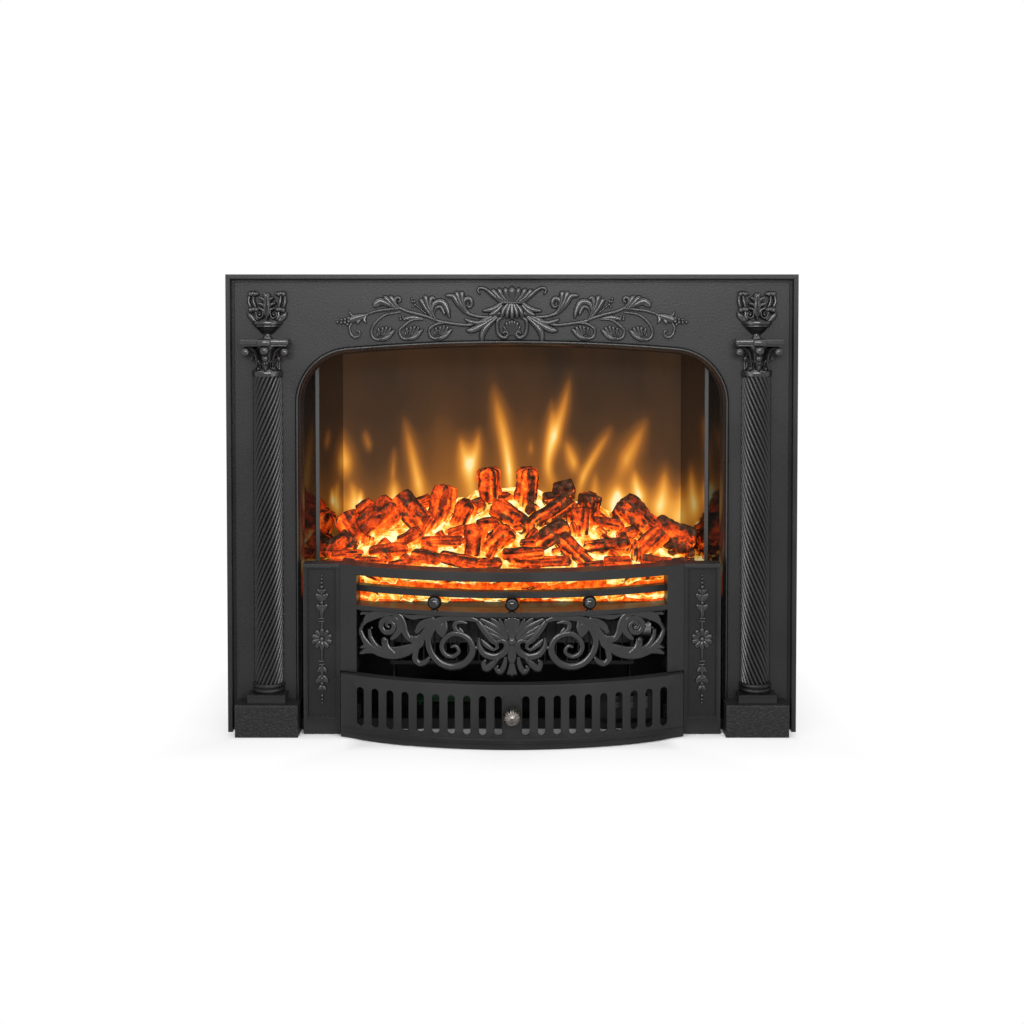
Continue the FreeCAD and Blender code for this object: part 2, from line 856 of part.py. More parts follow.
def make_drop():
    centre = value("(pilaster_inner + pilaster_outer) / 2")
    low = value("pilaster_foot + drop_margin")
    run = value("pilaster_height - pilaster_cap - pilaster_border - drop_margin - pilaster_foot")
    middle = low + run * 0.52
    petal = run * 0.065
    faces = [disc(centre, middle, petal * 0.75)]
    for index in range(10):
        heading = 36 * index
        start = toward(heading) * petal * 0.4
        faces.append(leaf(centre + start.x, middle + start.z, heading, petal * 0.75, petal * 0.45))
    for side in (-1, 1):
        faces.append(leaf(centre, middle, 90 * side, run * 0.45, petal * 0.5))
        for step, spread in ((0.20, 0.7), (0.285, 1.0), (0.345, 0.8)):
            z = middle + side * run * step
            for hand in (-1, 1):
                heading = 90 * side - 55 * hand * side
                faces.append(leaf(centre, z, heading, petal * spread, petal * 0.5))
        for step in (0.385, 0.415, 0.445):
            faces.append(disc(centre, middle + side * run * step, petal * 0.22))
    forward = value("pilaster_front - pilaster_recess")
    drop = shape_node("drop_right", relief(faces, value("drop_relief"), forward))
    mirrored("drop_left", drop)


def make_pilaster():
    body = body_of("pilaster_right")
    shaft = rectangle("pilaster_inner", "pilaster_outer", "0", "pilaster_height")
    pad(body, drawn(body, "pilaster_face", "XZ_Plane", [shaft], "panel_back"), "pilaster_front - panel_back")
    cap_base = "pilaster_height - pilaster_cap"
    cap = rectangle("pilaster_inner", "pilaster_outer", cap_base, "pilaster_height")
    pad(body, drawn(body, "pilaster_top", "XZ_Plane", [cap], "pilaster_front"), "cap_overhang")
    top = f"{cap_base} - pilaster_head"
    inside = rectangle(
        "pilaster_inner + pilaster_border", "pilaster_outer - pilaster_border", "pilaster_foot", top
    )
    panel = drawn(body, "pilaster_panel", "XZ_Plane", [inside], "pilaster_front")
    pocket(body, panel, "pilaster_recess")
    mirrored("pilaster_left", body)


# Bowed grate: every bar follows one circle, stepped back from the grate's front

BOW = "((pilaster_inner ^ 2 + bow_depth ^ 2) / (2 * bow_depth))"
BOW_CENTRE = f"({BOW} - grate_front - bow_depth)"


def bow_y(setback, x):
    """Where the bow lies at a distance from the middle, stepped back from the grate's front."""
    return f"({BOW_CENTRE} - sqrt(({BOW} - ({setback})) ^ 2 - ({x}) ^ 2))"


def bow_band(x0, x1, setback, depth):
    """Plan of a bowed band between two distances from the middle."""
    rear = f"({setback}) + ({depth})"
    return [
        (x0, bow_y(setback, x0), f"{BOW} - ({setback})", "left"),
        (x1, bow_y(setback, x1)),
        (x1, bow_y(rear, x1), f"{BOW} - ({rear})", "right"),
        (x0, bow_y(rear, x0)),
    ]


def bowed(body, name, x0, x1, setback, depth, low, high):
    """A bowed band raised from one height to another."""
    plan = drawn(body, name, "XY_Plane", [bow_band(x0, x1, setback, depth)], low)
    return pad(body, plan, f"({high}) - ({low})")


def make_grate():
    right = body_of("stile_right")
    inner = "window_half"
    outer = "pilaster_inner"
    bowed(right, "stile", inner, outer, "0", "stile_depth", "stile_base", "pilaster_height")
    mirrored("stile_left", right)
    spans = {
        "top_bar": ("0", "top_bar_base", "pilaster_height"),
        "middle_bar": ("middle_bar_setback", "middle_bar_base", "middle_bar_base + middle_bar_height"),
        "lower_bar": ("0", "lower_bar_base", "lower_bar_base + lower_bar_height"),
    }
    for label, (setback, low, high) in spans.items():
        depth = f"bar_depth - ({setback})"
        bowed(body_of(label), label + "_plan", "-window_half", "window_half", setback, depth, low, high)
    seat = "lower_bar_base + lower_bar_height"
    finials = []
    for step in (-1, 0, 1):
        x = f"{step} * finial_spacing"
        y = bow_y("finial_setback", x)
        sunk = "finial_radius - sqrt(finial_radius ^ 2 - finial_ring_radius ^ 2 / 4)"
        middle = f"{seat} + finial_ring_height + finial_radius - ({sunk})"
        base = rod(f"finial_ring_{step + 1}", "Z", "finial_ring_radius", "finial_ring_height", x, y, seat)
        head = ball(f"finial_ball_{step + 1}", "finial_radius", x, y, middle)
        finials.append(fused(f"finial_{step + 1}", [base, head]))
    group = doc.addObject("Part::Compound", "finial_group")
    group.Links = finials
    node("bar_finials", group)


def make_fret():
    """Pierced scrollwork, drawn flat and then cut out of a bowed plate under the lower bar."""
    half = value("window_half")
    top = value("lower_bar_base")
    drop = value("fret_drop")
    band = drop * 0.085

    def at(across, down):
        return half * across, top - drop * down

    # Scrolls: place across and down, radius, first heading, turns, hand
    scrolls = [
        (0.79, 0.40, 0.36, -90, 1.5, 1),
        (0.37, 0.56, 0.37, 90, 1.5, 1),
        (0.15, 0.50, 0.17, 90, 1.5, -1),
        (0.53, 0.79, 0.14, 180, 1.5, 1),
        (0.15, 0.80, 0.11, 180, 1.5, 1),
    ]
    # Leaves: place across and down, heading, length, width
    leaves = [
        (0.94, 0.02, -118, 0.60, 0.20),
        (0.98, 0.80, 140, 0.50, 0.20),
        (0.77, 0.73, 0, 0.56, 0.16),
        (0.81, 0.725, 162, 0.95, 0.17),
        (0.64, 0.03, -40, 0.70, 0.19),
        (0.64, 0.05, -80, 0.95, 0.17),
        (0.52, 0.03, -150, 0.60, 0.17),
        (0.38, 0.20, 160, 0.70, 0.17),
        (0.40, 0.18, 20, 0.70, 0.15),
        (0.24, 0.10, -75, 0.85, 0.18),
        (0.02, 0.52, 20, 0.50, 0.16),
        (0.00, 0.50, 42, 0.60, 0.17),
        (0.00, 0.48, 66, 0.56, 0.17),
        (0.02, 0.50, -42, 0.60, 0.18),
    ]
    faces = []
    for across, down, radius, start, turns, hand in scrolls:
        faces += scroll(*at(across, down), drop * radius, band, start, turns, hand)
    for across, down, heading, length, width in leaves:
        faces.append(leaf(*at(across, down), heading, drop * length, drop * width))
    faces = both_sides(faces)
    faces.append(leaf(0, top, -90, drop, drop * 0.24))
    faces.append(disc(0, top - drop * 0.42, drop * 0.12))
    rail_base = top - band * 0.6
    rail_ends = ((-half, rail_base), (half, rail_base), (half, top), (-half, top))
    faces.append(flat_face([Vector(x, 0, z) for x, z in rail_ends]))
    reach = value("grate_front + bow_depth + cover_lead")
    scrollwork = relief(faces, reach, 0)
    plate = doc.addObject("PartDesign::Body", "fret_plate")
    bowed(
        plate,
        "fret_plan",
        "-window_half",
        "window_half",
        "fret_setback",
        "fret_thick",
        "lower_bar_base - fret_drop",
        "lower_bar_base",
    )
    doc.recompute()
    shape_node("fret_panel", scrollwork.common(plate.Shape))


# Ash cover with its slides, channels and knob


def make_cover():
    body = body_of("ash_cover")
    half = "(pilaster_inner - cover_gap)"
    ahead = "-cover_lead"
    bowed(body, "cover_wall", f"-{half}", half, ahead, "cover_thick", "cover_lift", "cover_top")
    lip_low = "cover_top - cover_lip_height"
    bowed(body, "cover_lip", f"-{half}", half, ahead, "cover_lip_depth", lip_low, "cover_top")
    bead_top = "cover_bead_base + cover_bead_height"
    proud = "-cover_lead - cover_bead_rise"
    bead_depth = "cover_bead_rise + cover_thick"
    bowed(body, "cover_bead", f"-{half}", half, proud, bead_depth, "cover_bead_base", bead_top)
    end = "slot_width / 2"
    for side in (1, -1):
        middle = f"{side} * slot_first"
        outline = [
            (f"{middle} + {end}", f"slot_base + {end}"),
            (f"{middle} + {end}", f"slot_top - {end}", end, "left"),
            (middle, "slot_top", end, "left"),
            (f"{middle} - {end}", f"slot_top - {end}"),
            (f"{middle} - {end}", f"slot_base + {end}", end, "left"),
            (middle, "slot_base", end, "left"),
        ]
        sketch = drawn(body, "slot_right" if side > 0 else "slot_left", "XZ_Plane", [outline])
        opening = pocket(body, sketch)
        row_of(body, opening, sketch, "H_Axis", "slot_pitch", "slot_count", side < 0)

    knob = body_of("cover_knob")
    face = "-(grate_front + bow_depth + cover_lead)"
    neck = f"{face} - knob_boss_length"
    profile = [
        ("0", f"{neck} - knob_dome", "knob_radius * 1.25", "left"),
        ("knob_radius", f"{neck} - knob_dome / 3"),
        ("knob_radius", neck),
        ("knob_boss_radius * 0.7", neck),
        ("knob_boss_radius", face),
        ("0", face),
    ]
    revolved(knob, drawn(knob, "knob_profile", "XY_Plane", [profile], "knob_height"))

    slide = body_of("cover_slide_right")
    inner = "slide_offset - slide_width / 2"
    outer = "slide_offset + slide_width / 2"
    back_face = "cover_thick - cover_lead"
    plan = [
        (inner, bow_y(back_face, inner), f"{BOW} - ({back_face})", "left"),
        (outer, bow_y(back_face, outer)),
        (outer, "slide_rear"),
        (inner, "slide_rear"),
    ]
    pad(slide, drawn(slide, "slide_plan", "XY_Plane", [plan], "slide_base"), "slide_height")
    mirrored("cover_slide_left", slide)

    channel = body_of("slide_channel_right")
    wall = "(slide_clearance + channel_wall)"
    outside = rectangle(
        f"{inner} - {wall}", f"{outer} + {wall}", "sheet_gauge", f"slide_base + slide_height + {wall}"
    )
    tunnel = rectangle(
        f"{inner} - slide_clearance",
        f"{outer} + slide_clearance",
        "slide_base - slide_clearance",
        "slide_base + slide_height + slide_clearance",
    )
    section = drawn(channel, "channel_section", "XZ_Plane", [outside, tunnel], "channel_front")
    pad(channel, section, "channel_front + channel_rear", True)
    mirrored("slide_channel_left", channel)


# Case


def make_case():
    half = "case_half"
    inner = "(case_half - sheet_gauge)"
    inside = "(case_half - 2 * sheet_gauge)"
    front = "-panel_back"
    floor = "sheet_gauge"
    outer = slab("pan_outside", f"-{half}", half, front, "case_depth", "0", "pan_wall")
    hollow = slab(
        "pan_inside", f"-{inner}", inner, f"{front} + {floor}", f"case_depth - {floor}", floor, "pan_wall + 1"
    )
    holes = []
    for index, (x, y) in enumerate(
        (x, y) for x in ("-mount_half_x", "mount_half_x") for y in ("mount_front_y", "mount_rear_y")
    ):
        name = f"mount_hole_{index}"
        holes.append(rod(name, "Z", "mount_hole_radius", "3 * sheet_gauge", x, y, "-sheet_gauge"))
    node("base_pan", cut("pan", outer, [hollow] + holes))
    side = slab(
        "case_side_sheet", inside, inner, f"{front} + {floor}", f"case_depth - {floor}", floor, "case_height"
    )
    mirrored("case_side_left", node("case_side_right", side))
    lid = f"case_height + {floor}"
    node("case_top", slab("case_top_sheet", f"-{half}", half, front, "case_depth", "case_height", lid))
    back_front = "case_depth - 2 * sheet_gauge"
    back_rear = "case_depth - sheet_gauge"
    back = slab("case_back_sheet", f"-{inside}", inside, back_front, back_rear, floor, "case_height")
    before = f"{back_front} - {floor}"
    through = "3 * sheet_gauge"
    tools = [rod("gland_hole", "Y", "gland_radius", through, "gland_offset", before, "gland_height")]
    for index in range(int(value("vent_count"))):
        low = f"vent_base + {index} * vent_pitch"
        for hand in (-1, 1):
            middle = f"{hand} * vent_offset"
            left = f"{middle} - vent_width / 2"
            right = f"{middle} + vent_width / 2"
            name = f"vent_{index}_{hand + 1}"
            tools.append(slab(name, left, right, before, "case_depth", low, f"{low} + vent_height"))
    node("case_back", cut("case_back_cut", back, tools))
    baffle_rear = "screen_y + screen_thick"
    baffle_top = f"inner_top + {floor}"
    baffle = slab("baffle_sheet", f"-{inside}", inside, front, baffle_rear, "inner_top", baffle_top)
    node("top_baffle", baffle)


def make_hearth():
    liner = body_of("side_liner_right")
    gauge = "sheet_gauge"
    edge = "(case_half - 2 * sheet_gauge)"
    sheet_line = [
        (edge, "-panel_back"),
        ("liner_front_half", "-panel_back"),
        ("liner_front_half", "liner_start_y"),
        ("liner_bend_half", "liner_bend_y"),
        ("liner_rear_half", "screen_y"),
        (f"liner_rear_half + {gauge}", "screen_y"),
        (f"liner_bend_half + {gauge}", "liner_bend_y"),
        (f"liner_front_half + {gauge}", f"liner_start_y + {gauge}"),
        (f"liner_front_half + {gauge}", f"-panel_back + {gauge}"),
        (edge, f"-panel_back + {gauge}"),
    ]
    pad(liner, drawn(liner, "liner_plan", "XY_Plane", [sheet_line], "tray_top"), "inner_top - tray_top")
    mirrored("side_liner_left", liner)

    strip = body_of("side_trim_right")
    front_slope = "(liner_front_half - liner_bend_half) / (liner_bend_y - liner_start_y)"
    rear_slope = "(liner_bend_half - liner_rear_half) / (screen_y - liner_bend_y)"
    strip_plan = [
        ("liner_bend_half", "liner_bend_y"),
        (f"liner_bend_half - strip_reach * {rear_slope}", "liner_bend_y + strip_reach"),
        ("liner_bend_half - strip_stand", "liner_bend_y + strip_reach / 2"),
        ("liner_bend_half - strip_stand", "liner_bend_y - strip_reach / 2"),
        (f"liner_bend_half + strip_reach * {front_slope}", "liner_bend_y - strip_reach"),
    ]
    pad(strip, drawn(strip, "strip_plan", "XY_Plane", [strip_plan], "tray_top"), "inner_top - tray_top")
    mirrored("side_trim_left", strip)

    screen_rear = "screen_y + screen_thick"
    screen = slab("screen", "-screen_half", "screen_half", "screen_y", screen_rear, "tray_top", "inner_top")
    node("flame_screen", screen)

    tray = body_of("ember_tray")
    under = "(tray_top - sheet_gauge)"
    behind_bars = "bar_depth + tray_gap"
    leg = "(case_half - 2 * sheet_gauge)"
    top_plan = [
        ("-tongue_half", bow_y(behind_bars, "tongue_half"), f"{BOW} - ({behind_bars})", "left"),
        ("tongue_half", bow_y(behind_bars, "tongue_half")),
        ("tongue_half", "tray_front_y"),
        (leg, "tray_front_y"),
        (leg, "tray_rear_y"),
        (f"-{leg}", "tray_rear_y"),
        (f"-{leg}", "tray_front_y"),
        ("-tongue_half", "tray_front_y"),
    ]
    pad(tray, drawn(tray, "tray_plan", "XY_Plane", [top_plan], under), "sheet_gauge")
    legs = [
        rectangle(f"-{leg}", f"-{leg} + sheet_gauge", "tray_front_y", "tray_rear_y"),
        rectangle(f"{leg} - sheet_gauge", leg, "tray_front_y", "tray_rear_y"),
    ]
    pad(tray, drawn(tray, "tray_legs", "XY_Plane", legs, "sheet_gauge"), "tray_top - 2 * sheet_gauge")


def make_ember_bed():
    """A moulded bed that rises to the back, with rough logs set into it."""
    base = doc.addObject("PartDesign::Body", "bed_base")
    behind = "bar_depth + bed_gap"
    nose = "tongue_half - bed_gap"
    rear_half = "liner_rear_half - 2 * bed_gap"
    plan = [
        (f"-({nose})", bow_y(behind, nose), f"{BOW} - ({behind})", "left"),
        (nose, bow_y(behind, nose)),
        (nose, "tray_front_y"),
        ("bed_half", "tray_front_y"),
        ("bed_half", "liner_bend_y"),
        (rear_half, "screen_y - bed_gap"),
        (f"-({rear_half})", "screen_y - bed_gap"),
        ("-bed_half", "liner_bend_y"),
        ("-bed_half", "tray_front_y"),
        (f"-({nose})", "tray_front_y"),
    ]
    pad(base, drawn(base, "bed_plan", "XY_Plane", [plan], "tray_top"), "bed_rim - tray_top")
    doc.recompute()
    rim = value("bed_rim")
    rise = value("mound_top") - rim
    reach = value("bed_half")
    radius = value("log_radius")
    back = value("screen_y - bed_gap")
    front = base.Shape.BoundBox.YMin

    def ground(x, y):
        """Height of the sloping heap under the logs."""
        share = max((y - front) / (back - front), 0)
        return rim + rise * (1 - (x / reach) ** 2) * share**0.85

    sections = []
    for across in (-0.97, -0.75, -0.4, 0, 0.4, 0.75, 0.97):
        x = reach * across
        middle = (front + back) / 2
        slope = [(front, rim), (middle, ground(x, middle)), (back, ground(x, back))]
        outline = [(front, rim - radius)] + slope + [(back, rim - radius)]
        corners = [Vector(x, y, z) for y, z in outline]
        sections.append(Part.makePolygon(corners + corners[:1]))
    pieces = [Part.makeLoft(sections, True, True)]
    # Rows of logs from front to back: depth, number, widest lean from upright
    for depth, count, widest in ((-16, 12, 84), (16, 11, 76), (48, 9, 66), (78, 8, 34)):
        span = reach - 2.2 * radius - max(depth, 0) * 0.3
        for index in range(count):
            x = span * (2 * (index + 0.5) / count - 1)
            heading = 137.5 * index + depth
            length = radius * (3.2 + 0.6 * math.cos(heading))
            lean = widest * math.cos(math.radians(heading))
            centre = Vector(x, depth, ground(x, depth) + 0.2 * radius)
            pieces.append(log(centre, length, radius, 8 * math.sin(heading), lean))
    bed = base.Shape.multiFuse(pieces)
    sole = min(base.Shape.Faces, key=lambda face: face.CenterOfMass.z)
    room = sole.extrude(Vector(0, 0, 2 * (rim + rise)))
    shape_node("ember_bed", bed.common(room).removeSplitter())


def level_outline(corners, z):
    """A closed outline of (x, y) corners at one height."""
    return Part.makePolygon([Vector(x, y, z) for x, y in corners + corners[:1]])


def log(centre, length, radius, heading, lean):
    """A six-sided log about its middle, narrower at both ends, that leans from upright."""
    sections = []
    for up, share in ((-0.5, 0.75), (-0.35, 1.0), (0.35, 0.95), (0.5, 0.7)):
        ring = [toward(60 * corner) * radius * share for corner in range(6)]
        sections.append(level_outline([(point.x, point.z) for point in ring], length * up))
    piece = Part.makeLoft(sections, True, True)
    turn = Rotation(AXES["Z"], heading).multiply(Rotation(AXES["Y"], lean))
    piece.Placement = Placement(centre, turn)
    return piece


# Flame effect behind the screen


def make_flame_effect():
    reflector = body_of("flame_reflector")
    sheet_face = rectangle("-reflector_half", "reflector_half", "tray_top", "reflector_top")
    plate = drawn(reflector, "reflector_face", "XZ_Plane", [sheet_face], "-reflector_y")
    pad(reflector, plate, "reflector_gauge", True)
    flames = []
    for index in range(-4, 5):
        middle = f"{index} * reflector_half / 5"
        low = "tray_top + 40"
        high = f"reflector_top - 30 - {abs(index) * 18 + (index % 2) * 24}"
        bend = "reflector_half"
        flames.append([(middle, low, bend, "left"), (f"{middle} + 14", high, bend, "left")])
    slots = drawn(reflector, "flame_slots", "XZ_Plane", flames, "-reflector_y")
    pocket(reflector, slots)

    wall = "(case_half - 2 * sheet_gauge)"
    make_spindle(f"-({wall} - bush_length / 2)", f"({wall} - motor_length / 2)")
    motor_can("spindle_motor", f"{wall} - motor_length", "spindle_y", "spindle_z")
    node("spindle_bush", bush_block("spindle_bush", f"-{wall}", "spindle_y", "spindle_z"))
    board_rear = "tray_rear_y - sheet_gauge"
    board_front = f"{board_rear} - 2 * lamp_board_gauge"
    board_top = "tray_top + bush_size / 2"
    strip = slab("lamp_strip", "-tongue_half", "tongue_half", board_front, board_rear, "tray_top", board_top)
    node("flame_lamp_board", strip)


def make_spindle(x_start, x_end):
    """A rod with a row of bright flags, each turned on from the one before."""
    length = f"{x_end} - ({x_start})"
    pieces = [rod("spindle_rod", "X", "spindle_radius", length, x_start, "spindle_y", "spindle_z")]
    count = int(value("flag_count"))
    for index in range(count):
        lean = 60 * index
        along = math.cos(math.radians(lean))
        across = math.sin(math.radians(lean))
        flag = doc.addObject("Part::Box", f"flag_{index}")
        flag.Placement = Placement(Vector(), Rotation(AXES["X"], lean))
        bind(flag, "Length", "flag_width")
        bind(flag, "Width", "2 * flag_reach")
        bind(flag, "Height", "flag_gauge")
        # The flag turns about its corner, so the corner is moved to leave its middle on the spindle
        back = f"flag_reach * {along:.9f} - flag_gauge / 2 * {across:.9f}"
        down = f"flag_reach * {across:.9f} + flag_gauge / 2 * {along:.9f}"
        bind(flag, "Placement.Base.x", f"{index - (count - 1) / 2} * flag_pitch - flag_width / 2")
        bind(flag, "Placement.Base.y", f"spindle_y - ({back})")
        bind(flag, "Placement.Base.z", f"spindle_z - ({down})")
        pieces.append(flag)
    node("flame_spindle", fused("spindle_pieces", pieces))


SHAFT_BORE = "spindle_radius + running_clearance"


def motor_can(label, start, y, z):
    """A motor that takes a shaft into its left end."""
    can = rod(label + "_can", "X", "motor_radius", "motor_length", start, y, z)
    depth = "motor_length / 2 + shaft_end_play + sheet_gauge"
    bore = rod(label + "_bore", "X", SHAFT_BORE, depth, f"{start} - sheet_gauge", y, z)
    node(label, cut(label + "_cut", can, [bore]))


def bush_block(name, start, y, z):
    """A square bush, bored from its right end."""
    half = "bush_size / 2"
    block = slab(
        name + "_block",
        start,
        f"{start} + bush_length",
        f"{y} - {half}",
        f"{y} + {half}",
        f"{z} - {half}",
        f"{z} + {half}",
    )
    bore_start = f"{start} + bush_length / 2 - shaft_end_play"
    bore = rod(name + "_bore", "X", SHAFT_BORE, "bush_length", bore_start, y, z)
    return cut(name + "_cut", block, [bore])


# Fan heater under the ember tray


def make_heater():
    half = "heater_half"
    gauge = "sheet_gauge"
    left = f"-{half}"
    base = "heater_base"
    top = "heater_top"
    outside = slab("heater_outside", left, half, "-heater_front", "heater_rear", base, top)
    inside = slab(
        "heater_inside",
        f"{left} + {gauge}",
        f"{half} - {gauge}",
        f"-heater_front - {gauge}",
        f"heater_rear - {gauge}",
        f"{base} + {gauge}",
        f"{top} - {gauge}",
    )
    intake = slab(
        "heater_intake",
        "-blower_half",
        "blower_half",
        f"heater_rear - 2 * {gauge}",
        f"heater_rear + {gauge}",
        "blower_z - blower_radius / 2",
        "blower_z + blower_radius / 2",
    )
    hole_start = f"{half} - 2 * {gauge}"
    shaft_hole = rod(
        "blower_hole", "X", "spindle_radius + shaft_pass", f"4 * {gauge}", hole_start, "blower_y", "blower_z"
    )
    pieces = [cut("heater_shell", outside, [inside, intake, shaft_hole])]
    for name, x0, x1 in (
        ("heater_leg_left", left, f"{left} + {gauge}"),
        ("heater_leg_right", f"{half} - {gauge}", half),
    ):
        pieces.append(slab(name, x0, x1, "heater_leg_front", "heater_leg_rear", gauge, f"{base} + {gauge}"))
    pieces.append(bush_block("blower_bush", f"{left} + {gauge}", "blower_y", "blower_z"))
    node("heater_case", fused("heater_frame", pieces))
    motor_can("blower_motor", half, "blower_y", "blower_z")
    make_outlet_grille()
    make_heating_element()
    make_blower_wheel()


def make_outlet_grille():
    body = body_of("outlet_grille")
    border = "3 * sheet_gauge"
    outer = rectangle("-heater_half", "heater_half", "heater_base", "heater_top")
    side = f"(heater_half - {border})"
    window = rectangle(f"-{side}", side, f"heater_base + {border}", f"heater_top - {border}")
    pad(body, drawn(body, "grille_frame", "XZ_Plane", [outer, window], "heater_front"), "grille_depth")
    first = "-fin_pitch * (fin_count - 1) / 2"
    fin = rectangle(
        f"{first} - fin_gauge / 2",
        f"{first} + fin_gauge / 2",
        "heater_base + 2 * sheet_gauge",
        "heater_top - 2 * sheet_gauge",
    )
    sketch = drawn(body, "grille_fin", "XZ_Plane", [fin], "heater_front")
    row_of(body, pad(body, sketch, "grille_depth"), sketch, "H_Axis", "fin_pitch", "fin_count")


def make_heating_element():
    body = body_of("heating_element")
    span = "(heater_half - sheet_gauge)"
    bar = rectangle("element_y", "element_y + element_depth", "element_base", "element_top")
    pad(body, drawn(body, "element_bar", "YZ_Plane", [bar], f"-{span}"), f"2 * {span}")
    rib = rectangle("element_y - element_depth", "element_y", "element_base", "element_top")
    sketch = drawn(body, "element_rib", "YZ_Plane", [rib], "-element_half")
    pitch = "(2 * element_half - fin_gauge) / (fin_count - 1)"
    row_of(body, pad(body, sketch, "fin_gauge"), sketch, "N_Axis", pitch, "fin_count")


def make_blower_wheel():
    """A drum of thin blades between two discs, on one long shaft."""
    body = body_of("blower_wheel")
    for axis, place in (("y", "blower_y"), ("z", "blower_z")):
        bind(body, f"Placement.Base.{axis}", place)
    gauge = "sheet_gauge"
    start = f"-(heater_half - {gauge} - bush_length / 2)"
    shaft = drawn(body, "blower_shaft", "YZ_Plane", [round_loop("spindle_radius")], start)
    pad(body, shaft, f"heater_half + motor_length / 2 - ({start})")
    for name, x in (("blower_disc_left", "-blower_half"), ("blower_disc_right", f"blower_half - {gauge}")):
        pad(body, drawn(body, name, "YZ_Plane", [round_loop("blower_radius")], x), gauge)
    half = "blade_gauge / 2"
    blade_face = rectangle("blower_radius - blade_depth", f"blower_radius - {half}", f"-{half}", half)
    blade_sketch = drawn(body, "blower_blade", "YZ_Plane", [blade_face], "-blower_half")
    blade = pad(body, blade_sketch, "2 * blower_half")
    ring = body.newObject("PartDesign::PolarPattern", "blower_blades")
    ring.Originals = [blade]
    ring.Axis = (next(item for item in body.Origin.OriginFeatures if item.Role == "X_Axis"), [""])
    ring.Angle = 360
    bind(ring, "Occurrences", "blade_count")
    body.Tip = ring


def round_loop(radius):
    """A circle about a sketch's own origin, as four quarter turns."""
    return [
        (radius, "0", radius, "left"),
        ("0", radius, radius, "left"),
        (f"-{radius}", "0", radius, "left"),
        ("0", f"-{radius}", radius, "left"),
    ]


# Controls behind the ash cover


def make_controls():
    face = "-panel_forward"
    inside = "-panel_forward + panel_gauge"
    left = "panel_left"
    right = "panel_right"
    seat = "-panel_back"
    flange_low = "2 * sheet_gauge"
    shelf_top = "panel_base + panel_gauge"
    pieces = [
        slab("control_face", left, right, face, inside, "panel_base", "panel_top"),
        slab("control_shelf", left, right, face, seat, "panel_base", shelf_top),
        slab("control_flange", left, right, f"{seat} - panel_gauge", seat, flange_low, shelf_top),
    ]
    pivot_y = f"{inside} + switch_pivot_depth"
    tools = []
    room = "switch_width / 2 + switch_clearance"
    names = ("rocker_power", "rocker_low_heat", "rocker_high_heat")
    for index, label in enumerate(names):
        x = f"(switch_first + {index} * switch_pitch)"
        tall = "switch_length / 2 + switch_wall + switch_clearance"
        window = slab(
            f"switch_window_{index}",
            f"{x} - ({room})",
            f"{x} + {room}",
            f"{face} - panel_gauge",
            inside,
            f"switch_height - ({tall})",
            f"switch_height + {tall}",
        )
        tools.append(window)
        for hand in (-1, 1):
            near = f"{x} + {hand} * ({room})"
            far = f"{x} + {hand} * ({room} + switch_wall)"
            x0, x1 = (near, far) if hand > 0 else (far, near)
            cheek_half = "2.5 * switch_pin_radius"
            pieces.append(
                slab(
                    f"switch_cheek_{index}_{hand + 1}",
                    x0,
                    x1,
                    inside,
                    f"{pivot_y} + {cheek_half}",
                    f"switch_height - {cheek_half}",
                    f"switch_height + {cheek_half}",
                )
            )
        pin_half = f"({room} + switch_wall)"
        hole = "switch_pin_radius + running_clearance"
        bore_start = f"{x} - {pin_half}"
        bore = rod(f"switch_bore_{index}", "X", hole, f"2 * {pin_half}", bore_start, pivot_y, "switch_height")
        tools.append(bore)
        make_rocker(label, x, pivot_y, pin_half)
    node("control_panel", cut("control_panel_cut", fused("control_panel_sheet", pieces), tools))

    low = "sheet_gauge + board_lift"
    left_edge = "-board_length * 1.5"
    right_edge = f"{left_edge} + board_length"
    rear = "case_depth - board_depth / 2"
    front = f"{rear} - board_depth"
    board = [slab("board_plate", left_edge, right_edge, front, rear, low, f"{low} + lamp_board_gauge")]
    inset = "board_lift"
    for index, (x, y) in enumerate(
        (x, y)
        for x in (f"{left_edge} + {inset}", f"{right_edge} - {inset}")
        for y in (f"{front} + {inset}", f"{rear} - {inset}")
    ):
        board.append(rod(f"board_post_{index}", "Z", "board_lift / 2", "board_lift", x, y, "sheet_gauge"))
    top = f"{low} + lamp_board_gauge"
    blocks = ((0.12, 0.25, 3), (0.45, 0.18, 4), (0.72, 0.2, 2))
    for index, (across, length, tall) in enumerate(blocks):
        x0 = f"{left_edge} + board_length * {across}"
        x1 = f"{left_edge} + board_length * {across + length}"
        y0 = f"{front} + board_depth / 4"
        y1 = f"{rear} - board_depth / 4"
        board.append(slab(f"board_part_{index}", x0, x1, y0, y1, top, f"{top} + {tall} * board_lift"))
    node("control_board", fused("control_board_pieces", board))

    gland = body_of("cable_gland")
    inner_face = "case_depth - 2 * sheet_gauge"
    outer_face = "case_depth - sheet_gauge"
    profile = [
        ("gland_bore", f"{inner_face} - gland_radius / 2"),
        ("gland_flange", f"{inner_face} - gland_radius / 2"),
        ("gland_flange", inner_face),
        ("gland_radius", inner_face),
        ("gland_radius", outer_face),
        ("gland_flange", outer_face),
        ("gland_flange", f"{outer_face} + gland_radius / 2"),
        ("gland_radius", f"{outer_face} + gland_radius"),
        ("gland_bore", f"{outer_face} + gland_radius"),
    ]
    revolved(gland, drawn(gland, "gland_profile", "XY_Plane", [profile], "gland_height", "gland_offset"))


